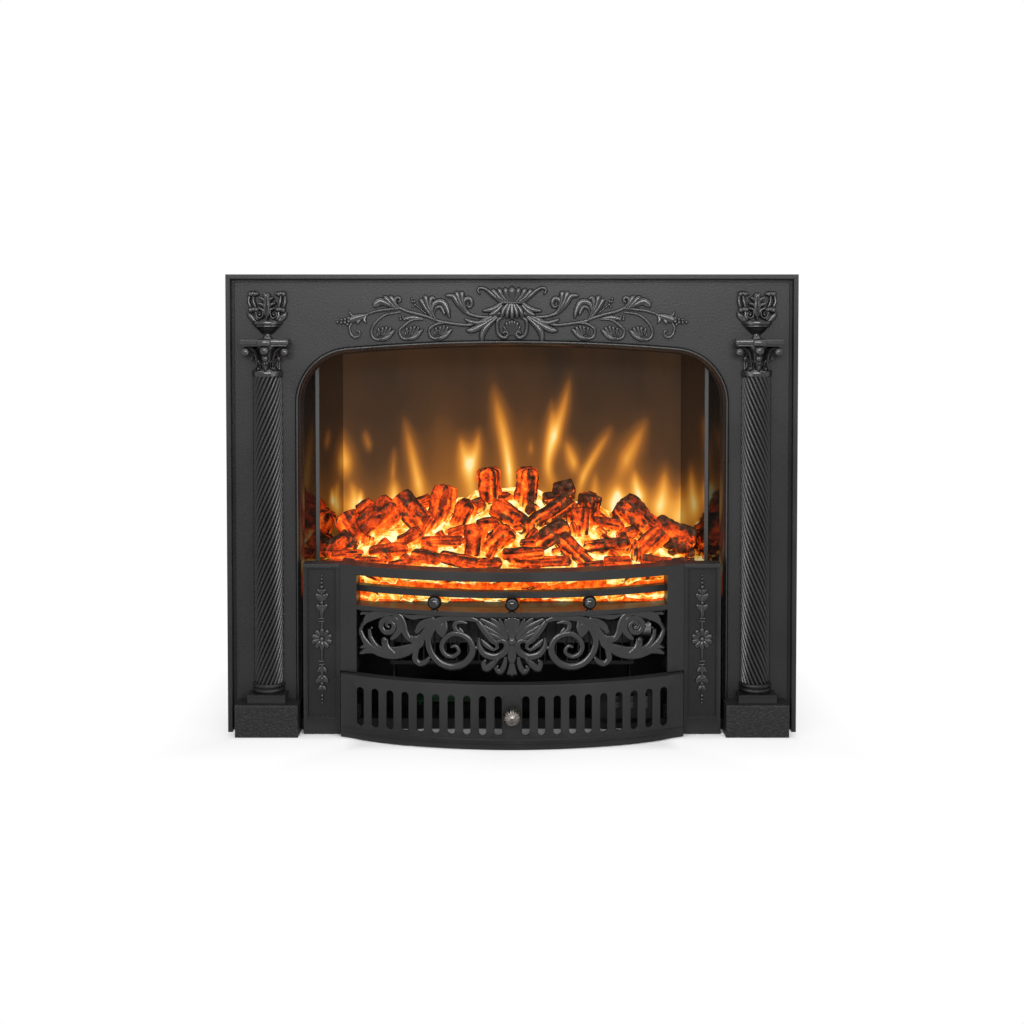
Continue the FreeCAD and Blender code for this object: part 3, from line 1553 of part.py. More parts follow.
def make_rocker(label, x, pivot_y, pin_half):
    """A rocker on two pins, resting with its lower half pressed in."""
    body = body_of(label)
    half = "switch_length / 2"
    front = "(switch_pivot_depth + panel_gauge + switch_wall)"
    profile = [
        (f"-{front}", f"-({half})"),
        ("switch_pivot_depth", f"-({half}) / 2"),
        ("switch_pivot_depth", f"{half} / 2"),
        (f"-{front}", half),
        (f"-{front} + switch_wall / 2", "0"),
    ]
    pad(body, drawn(body, label + "_profile", "YZ_Plane", [profile], "-switch_width / 2"), "switch_width")
    pin = drawn(body, label + "_pin", "YZ_Plane", [round_loop("switch_pin_radius")], f"-{pin_half}")
    pad(body, pin, f"2 * {pin_half}")
    body.Placement = Placement(Vector(), Rotation(AXES["X"], value("switch_tilt")))
    for axis, place in (("x", x), ("y", pivot_y), ("z", "switch_height")):
        bind(body, f"Placement.Base.{axis}", place)


make_surround()
make_arch_trim()
make_plinth()
make_column_base()
make_column_shaft()
make_capital()
make_urn()
make_garland()
make_pilaster()
make_drop()
make_grate()
make_fret()
make_cover()
make_case()
make_hearth()
make_ember_bed()
make_flame_effect()
make_heater()
make_controls()
doc.recompute()

for item in doc.Objects:
    if "Invalid" in item.State or "Error" in item.State:
        raise RuntimeError(f"{item.Label} did not build: {item.State}")
for label, item in NODES.items():
    if item.Shape.isNull() or not item.Shape.isValid() or not item.Shape.Solids:
        raise RuntimeError(f"{label} is not a sound solid")

os.makedirs("parts", exist_ok=True)
for label, item in NODES.items():
    item.Shape.exportStep(f"parts/{label}.step")
print(f"{len(NODES)} sub-parts written")
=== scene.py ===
import math
import random

import bmesh
import bpy
import numpy as np
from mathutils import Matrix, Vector, noise


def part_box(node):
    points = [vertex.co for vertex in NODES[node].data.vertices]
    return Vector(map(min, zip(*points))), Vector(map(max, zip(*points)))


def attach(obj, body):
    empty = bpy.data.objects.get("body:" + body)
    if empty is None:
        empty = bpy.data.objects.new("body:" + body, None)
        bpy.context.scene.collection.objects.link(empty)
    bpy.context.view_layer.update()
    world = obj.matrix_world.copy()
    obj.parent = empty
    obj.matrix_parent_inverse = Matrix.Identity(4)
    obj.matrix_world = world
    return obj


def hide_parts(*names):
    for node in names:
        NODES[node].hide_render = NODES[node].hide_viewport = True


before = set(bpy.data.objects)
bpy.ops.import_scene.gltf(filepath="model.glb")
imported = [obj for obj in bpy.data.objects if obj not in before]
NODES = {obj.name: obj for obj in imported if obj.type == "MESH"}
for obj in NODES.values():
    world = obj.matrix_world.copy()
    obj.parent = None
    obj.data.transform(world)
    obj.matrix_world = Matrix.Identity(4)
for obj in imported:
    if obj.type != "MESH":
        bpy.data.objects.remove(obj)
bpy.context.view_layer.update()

MM = 0.001
scene = bpy.context.scene

# Camera: the photograph's place, tilt and framing

CAMERA_AT = (0.0, -1722.0, 557.0)
CAMERA_TILT = math.radians(1.67)
LENS = 45.65
SENSOR = 36.0
SHIFT_Y = -0.160
PICTURE = 1024

camera_data = bpy.data.cameras.new("camera")
camera_data.lens = LENS
camera_data.sensor_width = SENSOR
camera_data.shift_y = SHIFT_Y
camera = bpy.data.objects.new("camera", camera_data)
camera.location = [value * MM for value in CAMERA_AT]
camera.rotation_euler = (math.radians(90) - CAMERA_TILT, 0, 0)
scene.collection.objects.link(camera)
scene.camera = camera
scene.view_settings.view_transform = "Standard"


def sight(px, py, y):
    """Where the line of sight through a place in the picture meets the plane at depth y, in mm."""
    focal = LENS / SENSOR * PICTURE
    across = (px - PICTURE / 2) / focal
    up = -(py - PICTURE / 2 - SHIFT_Y * PICTURE) / focal
    ahead = up * math.sin(CAMERA_TILT) + math.cos(CAMERA_TILT)
    rise = up * math.cos(CAMERA_TILT) - math.sin(CAMERA_TILT)
    reach = (y - CAMERA_AT[1]) / ahead
    return across * reach, CAMERA_AT[2] + rise * reach


# Materials


def feed(tree, made, inputs):
    """Links a socket to each named input of a node, or sets a value there."""
    for key, value in dict(inputs).items():
        if isinstance(value, bpy.types.NodeSocket):
            tree.links.new(value, made.inputs[key])
        else:
            made.inputs[key].default_value = value


def node(tree, kind, inputs=(), **settings):
    made = tree.nodes.new("ShaderNode" + kind)
    for key, value in settings.items():
        setattr(made, key, value)
    feed(tree, made, inputs)
    return made


def maths(tree, operation, first, second=0.0, clamp=False):
    made = node(tree, "Math", {0: first, 1: second}, operation=operation, use_clamp=clamp)
    return made.outputs[0]


def blend(tree, share, low, high):
    """One colour where the share is 0 and another where it is 1; a Mix node has them in sockets 6 and 7."""
    return node(tree, "Mix", {0: share, 6: low, 7: high}, data_type="RGBA").outputs[2]


def ramp(tree, factor, stops):
    made = node(tree, "ValToRGB", {"Fac": factor})
    elements = made.color_ramp.elements
    while len(elements) < len(stops):
        elements.new(0.5)
    for element, (place, colour) in zip(elements, stops):
        element.position = place
        element.color = (*colour, 1)
    return made.outputs["Color"]


def spread(tree, value, low, high, start=0.35, end=0.65):
    settings = {"Value": value, "From Min": start, "From Max": end, "To Min": low, "To Max": high}
    return node(tree, "MapRange", settings).outputs["Result"]


def object_place(tree):
    return node(tree, "TexCoord").outputs["Object"]


def grain(tree, scale, detail=3.0, stretch=None):
    place = object_place(tree)
    if stretch:
        place = node(tree, "Mapping", {"Vector": place, "Scale": stretch}).outputs["Vector"]
    return node(tree, "TexNoise", {"Vector": place, "Scale": scale, "Detail": detail}).outputs["Fac"]


def mesh_level(tree, name):
    """A level that the mesh carries at each of its points."""
    return node(tree, "Attribute", attribute_name=name).outputs["Fac"]


def grain_bump(tree, height, strength, depth):
    return node(tree, "Bump", {"Height": height, "Strength": strength, "Distance": depth})


def new_look(name):
    made = bpy.data.materials.new(name)
    made.use_nodes = True
    return made, made.node_tree, made.node_tree.nodes["Principled BSDF"]


def grey(value, warm=0.0):
    return (value * (1 + warm), value, value * (1 - warm))


# Noise at which the mottling is dark and light, pointiness at which an edge is rubbed and gets a painted
# highlight, and how pale it gets
MOTTLED = (0.32, 0.68)
EDGE_WEAR_AND_HIGHLIGHT = (0.52, 0.62)
EDGE_HIGHLIGHT_GAIN = 2.2
EDGE_HIGHLIGHT_LIFT = 0.02
GRAIN_DETAIL = 2.0
BEVEL_SAMPLES = 4


def finish(name, dark, light, rough, bump, metal=0.0, level=0.5, edge=0.0, broad=18, stretch=None,
           round_edge=0.0):
    """A painted, cast or plain surface: mottled colour, uneven sheen, fine grain and rubbed edges lightened
    as a painted highlight.
    """
    made, tree, shader = new_look(name)
    wide = grain(tree, broad)
    colour = ramp(tree, wide, list(zip(MOTTLED, (dark, light))))
    # Sharp edges are lightened by their pointiness: rubbed wear and a painted edge highlight
    if edge:
        edge_wear_and_highlight = spread(tree, node(tree, "NewGeometry").outputs["Pointiness"], 0, edge, *EDGE_WEAR_AND_HIGHLIGHT)
        edge_highlight_colour = [min(1, part * EDGE_HIGHLIGHT_GAIN + EDGE_HIGHLIGHT_LIFT) for part in light]
        colour = blend(tree, edge_wear_and_highlight, colour, (*edge_highlight_colour, 1))
    scale, strength, depth = bump
    bumped = grain_bump(tree, grain(tree, scale, GRAIN_DETAIL, stretch), strength, depth)
    if round_edge:
        soft = node(tree, "Bevel", {"Radius": round_edge}, samples=BEVEL_SAMPLES)
        feed(tree, bumped, {"Normal": soft.outputs["Normal"]})
    feed(tree, shader, {
        "Base Color": colour, "Roughness": spread(tree, wide, *rough), "Normal": bumped.outputs["Normal"],
        "Metallic": metal, "Specular IOR Level": level})
    return made


# Each finish: its dark and light, its sheen, the scale, strength and depth of its grain, then what is its own
FINISHES = {
    "cast_black": (grey(0.0055), grey(0.0095), (0.37, 0.44), (420, 0.40, 0.0006),
                   {"level": 0.22, "edge": 0.3, "round_edge": 0.0016}),
    "carved_black": (grey(0.0065), grey(0.011), (0.20, 0.28), (700, 0.08, 0.0003),
                     {"edge": 0.3, "broad": 60}),
    "rope_black": (grey(0.006), grey(0.010), (0.30, 0.38), (300, 0.04, 0.0002), {"level": 0.4}),
    "moulding": (grey(0.006), grey(0.009), (0.26, 0.32), (300, 0.03, 0.0002), {}),
    "plinth": (grey(0.006), grey(0.013), (0.36, 0.48), (330, 1.0, 0.0016),
               {"broad": 240, "level": 0.25, "round_edge": 0.0016}),
    "black_sheet": (grey(0.006), grey(0.009), (0.5, 0.62), (700, 0.15, 0.0002), {"level": 0.3}),
    "gloss_black": (grey(0.004), grey(0.006), (0.12, 0.18), (300, 0.06, 0.0002), {"level": 0.45}),
    "gloss_liner": (grey(0.004, 0.1), grey(0.006, 0.1), (0.07, 0.11), (60, 0.02, 0.0004), {"level": 0.6}),
    "pewter": (grey(0.05, 0.1), grey(0.20, 0.1), (0.26, 0.4), (900, 0.3, 0.0003),
               {"metal": 1.0, "edge": 0.5, "broad": 260}),
    "steel": (grey(0.42), grey(0.52), (0.28, 0.38), (500, 0.1, 0.0002),
              {"metal": 1.0, "stretch": (1, 0.05, 1)}),
    "grey_strip": (grey(0.012), grey(0.020), (0.42, 0.52), (400, 0.1, 0.0002),
                   {"level": 0.4, "stretch": (1, 1, 0.05)}),
    "bright_foil": (grey(0.7), grey(0.82), (0.08, 0.16), (120, 0.2, 0.0006), {"metal": 1.0}),
    "motor_steel": (grey(0.36), grey(0.48), (0.3, 0.42), (500, 0.12, 0.0002), {"metal": 1.0}),
    "bush_plastic": (grey(0.012), grey(0.018), (0.42, 0.52), (800, 0.2, 0.0002), {}),
    # The circuit board and the heating element are coloured darker, as painted shade for the inside of the
    # case
    "circuit_board": ((0.004, 0.018, 0.008), (0.007, 0.03, 0.012), (0.35, 0.45), (300, 0.2, 0.0002),
                      {"level": 0.3}),
    "element_alloy": (grey(0.05), grey(0.09), (0.45, 0.6), (400, 0.15, 0.0002),
                      {"metal": 0.4, "level": 0.3}),
    "switch_plastic": (grey(0.010), grey(0.014), (0.22, 0.3), (700, 0.08, 0.0002), {}),
}
LOOKS = {name: finish(name, *row[:-1], **row[-1]) for name, row in FINISHES.items()}

# Ember resin: scales of its cracks, cells, patches and grain, and how far each shifts the glow or the char
NOISE_SPAN = (0.36, 0.64)
CRACK_SCALE = 130
CRACK_GLOW = 0.13
CELL_SCALE = 95.0
SEAM_GLOW = 0.16
SEAM_WIDTH = 0.05
PATCH_SCALE = 100
PATCH_CHAR = 0.34
CHAR_EDGE = (0.45, 0.62)
CHARRED_GLOW = 0.10
BARK_BUMP = (420, 0.6, 0.0012)
EMBER_STRENGTH = 1.15
BARE_RESIN = (0.10, 0.018, 0.005, 1)
UNLIT = (0.0, 0.0, 0.0, 1)
BARK = [(0.3, (0.012, 0.005, 0.002)), (0.55, (0.05, 0.024, 0.012)), (0.72, (0.11, 0.058, 0.032))]
EMBER_GLOW = [
    (0.00, (0.010, 0.002, 0.001)), (0.22, (0.16, 0.010, 0.002)), (0.42, (0.75, 0.055, 0.004)),
    (0.60, (1.0, 0.17, 0.010)), (0.76, (1.0, 0.42, 0.035)), (0.88, (1.0, 0.74, 0.16)),
    (1.00, (1.0, 0.93, 0.52)),
]


def ember_material():
    """Resin coals: dark bark where they are charred, lit from within where they are not."""
    made, tree, shader = new_look("ember_resin")
    crack = grain(tree, CRACK_SCALE, 5.0)
    cells = node(tree, "TexVoronoi", {"Vector": object_place(tree), "Scale": CELL_SCALE},
                 feature="DISTANCE_TO_EDGE")
    seams = spread(tree, cells.outputs["Distance"], SEAM_GLOW, 0.0, 0.0, SEAM_WIDTH)
    flecks = maths(tree, "ADD", spread(tree, crack, -CRACK_GLOW, CRACK_GLOW, *NOISE_SPAN), seams)
    glow = ramp(tree, maths(tree, "ADD", mesh_level(tree, "glow_level"), flecks), EMBER_GLOW)
    patch = spread(tree, grain(tree, PATCH_SCALE, 6.0), -PATCH_CHAR, PATCH_CHAR, *NOISE_SPAN)
    burnt = maths(tree, "ADD", mesh_level(tree, "char_level"), patch, clamp=True)
    cover = spread(tree, burnt, 0.0, 1.0, *CHAR_EDGE)
    lit = spread(tree, cover, 1.0, CHARRED_GLOW, 0.0, 1.0)
    scale, strength, depth = BARK_BUMP
    bumped = grain_bump(tree, grain(tree, scale, 4.0), strength, depth)
    feed(tree, shader, {
        "Base Color": blend(tree, cover, BARE_RESIN, ramp(tree, crack, BARK)),
        "Emission Color": blend(tree, lit, UNLIT, glow), "Emission Strength": EMBER_STRENGTH,
        "Roughness": 0.85, "Specular IOR Level": 0.12, "Normal": bumped.outputs["Normal"]})
    return made


DRIFT_SCALE = 16
DRIFT_STRETCH = (1, 1, 0.35)
DRIFT_GLOW = 0.03
SMOKED = [(0.3, (0.004, 0.003, 0.002)), (0.7, (0.006, 0.004, 0.003))]
SMOKED_SCALE = 30
FLAME_GLOW = [
    (0.00, (0.026, 0.015, 0.009)), (0.20, (0.080, 0.034, 0.012)), (0.42, (0.26, 0.090, 0.016)),
    (0.62, (0.62, 0.22, 0.026)), (0.80, (0.95, 0.42, 0.06)), (0.92, (1.0, 0.68, 0.18)),
    (1.00, (1.0, 0.92, 0.55)),
]


def screen_material():
    """Smoked screen on which the flame effect plays: brown haze, orange tongues, white-hot roots."""
    made, tree, shader = new_look("screen")
    drift = spread(tree, grain(tree, DRIFT_SCALE, 3.0, DRIFT_STRETCH), -DRIFT_GLOW, DRIFT_GLOW)
    warm = maths(tree, "ADD", mesh_level(tree, "glow_level"), drift)
    feed(tree, shader, {
        "Base Color": ramp(tree, grain(tree, SMOKED_SCALE), SMOKED),
        "Emission Color": ramp(tree, warm, FLAME_GLOW), "Emission Strength": 1.0,
        "Roughness": 0.6, "Specular IOR Level": 0.05})
    return made


# Depth of the liner's bend and the length over which the polish starts, in metres
LINER_BEND = 0.038
LINER_TURN = 0.004
DARK_MIRROR = (0.42, 0.40, 0.38, 1)


def polish_liner():
    """Glossy black side walls, polished to a dark mirror behind their bend."""
    tree = LOOKS["gloss_liner"].node_tree
    shader = tree.nodes["Principled BSDF"]
    deep = node(tree, "SeparateXYZ", {0: object_place(tree)}).outputs["Y"]
    polish = spread(tree, deep, 0.0, 1.0, LINER_BEND, LINER_BEND + LINER_TURN)
    black = shader.inputs["Base Color"].links[0].from_socket
    feed(tree, shader, {"Base Color": blend(tree, polish, black, DARK_MIRROR), "Metallic": polish})


polish_liner()
LOOKS["ember_resin"] = ember_material()
LOOKS["screen"] = screen_material()


# Mesh helpers: everything is shaped in mm and turned into metres when the piece is made


class Clay:
    def __init__(self):
        self.verts = []
        self.faces = []
        self.marks = {}

    def loft(self, rings, closed=True, caps=True, **marks):
        """Rings of points, an array of ring, point and x-y-z, joined by quads."""
        rings = np.asarray(rings, float)
        count, around = rings.shape[:2]
        start = len(self.verts)
        self.verts.extend(rings.reshape(-1, 3).tolist())
        for key, values in marks.items():
            values = np.broadcast_to(values, (count, around)).reshape(-1)
            self.marks.setdefault(key, []).extend(values.tolist())
        turn = around if closed else around - 1
        for row in range(count - 1):
            low = start + row * around
            for step in range(turn):
                after = (step + 1) % around
                self.faces.append((low + step, low + after, low + around + after, low + around + step))
        if caps:
            self.faces.append(tuple(range(start + around - 1, start - 1, -1)))
            last = start + (count - 1) * around
            self.faces.append(tuple(range(last, last + around)))

    def mirror(self):
        shift = len(self.verts)
        self.verts.extend([(-x, y, z) for x, y, z in self.verts])
        self.faces.extend([tuple(shift + index for index in reversed(face)) for face in self.faces[:]])


def piece(name, clay, look, body, replaced, flat=35):
    """A mesh that rides a body in the place of one solid; edges sharper than flat degrees stay sharp."""
    mesh = bpy.data.meshes.new(name)
    mesh.from_pydata((np.array(clay.verts) * MM).tolist(), [], clay.faces)
    work = bmesh.new()
    work.from_mesh(mesh)
    bmesh.ops.recalc_face_normals(work, faces=work.faces)
    work.to_mesh(mesh)
    work.free()
    for key, values in clay.marks.items():
        mesh.attributes.new(key, "FLOAT", "POINT").data.foreach_set("value", values)
    mesh.shade_smooth()
    mesh.set_sharp_from_angle(angle=math.radians(flat))
    made = bpy.data.objects.new(name, mesh)
    scene.collection.objects.link(made)
    mesh.materials.append(LOOKS[look])
    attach(made, body)
    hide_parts(replaced)


PATH_STEPS = 14


def smooth_path(points, count):
    """Evenly spaced rows on a smooth curve through the given rows; the first two columns are the place."""
    rows = np.array(points, float)
    ends = np.vstack([2 * rows[0] - rows[1], rows, 2 * rows[-1] - rows[-2]])
    share = np.linspace(0, 1, PATH_STEPS, endpoint=False)[:, None]
    runs = []
    for index in range(len(rows) - 1):
        a, b, c, d = ends[index:index + 4]
        runs.append(0.5 * (2 * b + (c - a) * share + (2 * a - 5 * b + 4 * c - d) * share**2
                           + (3 * b - a - 3 * c + d) * share**3))
    dense = np.vstack(runs + [rows[-1:]])
    walked = np.concatenate([[0], np.cumsum(np.hypot(*np.diff(dense[:, :2], axis=0).T))])
    stops = np.linspace(0, walked[-1], count)
    return np.column_stack([np.interp(stops, walked, column) for column in dense.T])


# Cross sections of the carving from edge to edge, the foot under them, and the least that a strip has
ANGLES = np.radians(np.linspace(-90, 90, 9))
ACROSS = np.sin(ANGLES)
ROUND = np.cos(ANGLES)
FLUTE = ROUND**0.8 * (1 - 0.10 * np.exp(-((ACROSS / 0.3) ** 2)))
BROAD = ROUND**0.6
FOOT_ACROSS = [0.9, -0.9]
THINNEST = 0.15
FEWEST_ROWS = 7
TINY = 1e-9
STROKE_PACE = 1.1


def strip(clay, points, lay, shape=ROUND, base=-0.5, pace=1.3):
    """A carved band along rows of x, z, half width and height."""
    rows = np.array(points, float)
    length = np.hypot(*np.diff(rows[:, :2], axis=0).T).sum()
    x, z, wide, high = smooth_path(rows, max(FEWEST_ROWS, int(length / pace))).T
    wide = np.maximum(wide, THINNEST)
    run_x, run_z = np.gradient(x), np.gradient(z)
    run = np.hypot(run_x, run_z) + TINY
    side_x, side_z = -run_z / run, run_x / run
    place = np.concatenate([ACROSS, FOOT_ACROSS])
    lift = np.concatenate([shape, [0, 0]])
    low = np.concatenate([np.zeros_like(shape), [base, base]])
    xs = x[:, None] + side_x[:, None] * wide[:, None] * place
    zs = z[:, None] + side_z[:, None] * wide[:, None] * place
    hs = high[:, None] * lift + low
    clay.loft(lay(xs, zs, hs))


BEAD_LATITUDES = np.radians(np.linspace(-88, 88, 8))
BEAD_LONGITUDES = np.radians(np.linspace(0, 360, 14, endpoint=False))


def bead(clay, x, z, radius, height, lay):
    """A berry or ball whose middle stands at a height over the ground."""
    level = np.cos(BEAD_LATITUDES)[:, None]
    xs = x + radius * level * np.cos(BEAD_LONGITUDES)
    zs = z + radius * np.sin(BEAD_LATITUDES)[:, None] * np.ones_like(BEAD_LONGITUDES)
    hs = height + radius * level * np.sin(BEAD_LONGITUDES)
    clay.loft(lay(xs, zs, hs))


# Along a lobe: shares of its width and height, then the share of its length to the next row
LOBE_ROWS = [(0.4, 0.5, 0.28), (0.78, 0.85, 0.28), (1.0, 1.0, 0.24), (0.98, 1.0, 0.15), (0.66, 0.8, 0.05),
             (0.12, 0.4, 0)]
LOBE_STEPS = 14
LOBE_PACE = 0.8


def lobe(clay, x, z, heading, length, width, height, lay, bend=0.0):
    """One rounded leaf lobe or petal from (x, z)."""
    rows = []
    turned_to = heading
    for wide, high, step in LOBE_ROWS:
        rows.append((x, z, width / 2 * wide, height * high))
        turned_to += bend * step
        x += math.cos(math.radians(turned_to)) * length * step
        z += math.sin(math.radians(turned_to)) * length * step
    strip(clay, rows, lay, FLUTE, pace=max(LOBE_PACE, length / LOBE_STEPS))


# An acanthus leaf's side lobes and tip, in shares of its width and height, and its midrib
SIDE_LOBE = (0.74, 0.8)
SIDE_BEND = 34
TIP_LOBE = (0.55, 0.42, 0.9)
RIB_SHARE = 0.16
RIB_TAPER = 0.7
RIB_LEAST = 0.3
# Where the first pair of lobes starts, and how their length swells along the leaf
FIRST_PAIR = 0.3
SWELL = (0.35, 0.65)
SWELL_FROM = 0.18
SWELL_ALONG = 0.74


def heading_of(run):
    return math.degrees(math.atan2(run[1], run[0]))


def leaf(clay, points, width, height, pairs, lay, opening):
    """An acanthus leaf: lobes along both sides of a midrib that runs through the points."""
    path = smooth_path(points, (pairs + 2) * 4)
    for index in range(pairs):
        share = (index + FIRST_PAIR) / pairs
        row = int(share * (len(path) - 5)) + 1
        heading = heading_of(path[row + 2] - path[row])
        swell = math.sin(math.pi * (SWELL_FROM + SWELL_ALONG * share))
        reach = width * (SWELL[0] + SWELL[1] * swell)
        for hand in (-1, 1):
            lobe(clay, *path[row], heading + hand * opening, reach, reach * SIDE_LOBE[0],
                 height * SIDE_LOBE[1], lay, -hand * SIDE_BEND)
    rib = []
    for index, (x, z) in enumerate(points):
        taper = 1 - RIB_TAPER * index / (len(points) - 1)
        rib.append((x, z, width * RIB_SHARE * taper + RIB_LEAST, height))
    strip(clay, rib, lay)
    long, wide, high = TIP_LOBE
    lobe(clay, *path[-3], heading_of(path[-1] - path[-3]), width * long, width * wide, height * high, lay)


# A stroke's root and its rounded tip, in shares of its height and half width
ROOT_HEIGHT = 0.8
TIP_REACH = 0.8
TIP_WIDTH = 0.25
TIP_HEIGHT = 0.6


def stroke(clay, place, rows, height, lay, grow=1.12, base=-0.5):
    """A stem, lobe or petal with a rounded tip, drawn as rows of place and width in an enlarged view."""
    points = []
    for index, (u, v, wide) in enumerate(rows):
        x, z, unit = place(u, v)
        points.append((x, z, wide * grow * unit / 2, height * (ROOT_HEIGHT if index == 0 else 1.0)))
    end, half = np.array(points[-1][:2]), points[-1][2]
    run = end - np.array(points[-2][:2])
    tip = end + run / (np.hypot(*run) + TINY) * half * TIP_REACH
    points.append((*tip, half * TIP_WIDTH, height * TIP_HEIGHT))
    strip(clay, points, lay, BROAD, base, STROKE_PACE)


SIDE_NAMES = {-1: "left", 1: "right"}


def carving(name, clay, replaced, flat=60, look="carved_black"):
    """A piece of the cast front that takes the place of one solid."""
    piece(name, clay, look, "insert", replaced, flat)


# Field of the surround, out of which the ornament stands, and how far a round may reach behind it

FIELD = -14.0
SUNK = 0.4


def on_field(x, z, h):
    return np.stack([x, FIELD - h, z], axis=-1)


def in_field(x, reach, angle, z):
    """Points round an upright axis in the field, cut off just behind it."""
    ys = np.minimum(FIELD - reach * np.cos(angle), FIELD + SUNK)
    return np.stack(np.broadcast_arrays(x + reach * np.sin(angle), ys, z), axis=-1)


def enlarged(middle, unit):
    """Turns a place in an enlarged view into x, z and the size of the view's unit there."""
    return lambda u, v: ((u - middle[0]) * unit, middle[1] - v * unit, unit)


def balls(clay, place, rows, lay, height=None):
    """Berries and balls from rows of place, radius and, where they differ, height."""
    for u, v, radius, *own in rows:
        x, z, unit = place(u, v)
        bead(clay, x, z, radius * unit, own[0] if own else height, lay)


# Garland over the arch, shaped on its left half and mirrored

# The garland's left half in an enlarged view: height, then rows of place and width
GARLAND_UNIT = 0.1678
GARLAND_MIDDLE = (1475, 603.2)
GARLAND = [
    # Stems
    (3.4, [(340, 306, 20), (420, 281, 24), (500, 270, 24), (570, 262, 24), (600, 256, 24)]),
    (3.8, [(590, 255, 26), (660, 285, 28), (760, 310, 28), (840, 335, 28), (900, 360, 28), (1000, 378, 28),
           (1100, 390, 28), (1150, 386, 30), (1260, 352, 34), (1340, 315, 36), (1400, 290, 30)]),
    # Calyx at the end and the little curl under it
    (4.6, [(345, 310, 18), (290, 325, 50), (230, 345, 60), (205, 352, 34)]),
    (4.2, [(270, 330, 24), (225, 320, 26), (200, 282, 14)]),
    (4.4, [(330, 318, 20), (318, 350, 34), (335, 374, 12)]),
    (4.4, [(290, 335, 26), (270, 365, 32), (262, 384, 10)]),
    (3.4, [(222, 372, 16), (202, 410, 22), (212, 460, 24), (245, 488, 24), (280, 470, 22), (278, 438, 18),
           (255, 440, 14)]),
    # First fan leaf
    (5.2, [(560, 258, 22), (505, 228, 44), (445, 206, 62), (405, 232, 50), (396, 248, 20)]),
    (5.6, [(560, 256, 22), (515, 212, 44), (482, 176, 46)]),
    (5.6, [(572, 254, 22), (548, 212, 42), (526, 172, 44)]),
    (5.0, [(590, 252, 20), (560, 215, 30), (566, 182, 30), (592, 176, 28), (602, 200, 24), (584, 212, 18)]),
    # Second fan leaf
    (5.2, [(850, 326, 20), (795, 255, 36), (762, 195, 40)]),
    (5.6, [(858, 322, 22), (812, 236, 42), (798, 172, 44)]),
    (5.6, [(862, 318, 22), (832, 236, 38), (846, 180, 40), (872, 186, 24)]),
    (5.2, [(880, 352, 18), (848, 285, 30), (868, 222, 44), (928, 212, 56), (966, 268, 46), (984, 330, 22)]),
    (5.8, [(862, 300, 18), (880, 258, 28), (915, 248, 34), (938, 285, 30), (950, 312, 14)]),
    # Trumpet leaf
    (4.4, [(1290, 330, 26), (1200, 322, 28), (1130, 300, 32), (1090, 270, 36)]),
    (5.2, [(1105, 290, 30), (1050, 222, 44), (1015, 168, 46), (962, 160, 30)]),
    (5.8, [(1110, 286, 30), (1066, 212, 44), (1042, 142, 46)]),
    (5.8, [(1118, 282, 30), (1090, 212, 40), (1082, 140, 44)]),
    (5.2, [(1140, 300, 24), (1100, 262, 36), (1102, 200, 40), (1140, 182, 40), (1160, 222, 36),
           (1142, 252, 26), (1120, 236, 16)]),
    # Sprigs that carry berries
    (2.6, [(800, 300, 12), (755, 262, 14), (715, 225, 12)]),
    (2.8, [(780, 340, 16), (700, 334, 40), (640, 342, 30), (615, 332, 12)]),
    # Leaves out of the middle
    (5.0, [(1300, 350, 24), (1200, 372, 38), (1130, 356, 34), (1106, 340, 14)]),
    (5.4, [(1352, 322, 30), (1252, 386, 46), (1180, 424, 52), (1128, 436, 34)]),
    (5.4, [(1358, 328, 30), (1282, 400, 46), (1244, 460, 50), (1240, 512, 30)]),
    # Lotus crown, its skirt and side leaves
    (5.6, [(1400, 216, 36), (1330, 160, 38), (1272, 112, 32), (1226, 100, 28), (1208, 122, 24),
           (1224, 148, 16)]),
    (6.2, [(1465, 216, 30), (1432, 160, 44), (1424, 112, 44)]),
    (6.0, [(1450, 216, 30), (1396, 165, 44), (1374, 116, 44)]),
    (5.8, [(1430, 216, 30), (1366, 170, 42), (1326, 122, 42)]),
    (5.8, [(1445, 222, 30), (1412, 270, 42), (1394, 322, 34)]),
    (6.2, [(1462, 222, 30), (1442, 280, 40), (1434, 328, 32)]),
    (5.4, [(1392, 222, 34), (1330, 264, 46), (1252, 280, 26)]),
    (5.6, [(1396, 236, 34), (1346, 290, 48), (1300, 312, 28)]),
    # Lyre and its shell
    (5.0, [(1400, 330, 26), (1368, 350, 30), (1358, 400, 32), (1372, 466, 32), (1418, 490, 32),
           (1444, 462, 26), (1420, 442, 22), (1404, 460, 16)]),
    (5.0, [(1468, 462, 20), (1440, 410, 30), (1430, 372, 26)]),
    (5.2, [(1472, 456, 20), (1458, 400, 28), (1455, 362, 24)]),
    (4.6, [(1462, 470, 18), (1425, 430, 26), (1412, 402, 20)]),
]
GARLAND_MIDST = [
    (6.8, [(1475, 216, 50), (1475, 150, 70), (1475, 112, 62)]),
    (6.4, [(1475, 224, 34), (1475, 285, 42), (1475, 336, 34)]),
    (5.4, [(1475, 470, 22), (1475, 400, 30), (1475, 358, 26)]),
    (6.6, [(1395, 218, 18), (1475, 214, 22), (1555, 218, 18)]),
]
GARLAND_CURL = [(374, 440, 24), (388, 490, 26), (432, 506, 26), (474, 490, 24), (478, 458, 20),
                (446, 440, 18), (420, 456, 16), (428, 478, 14)]
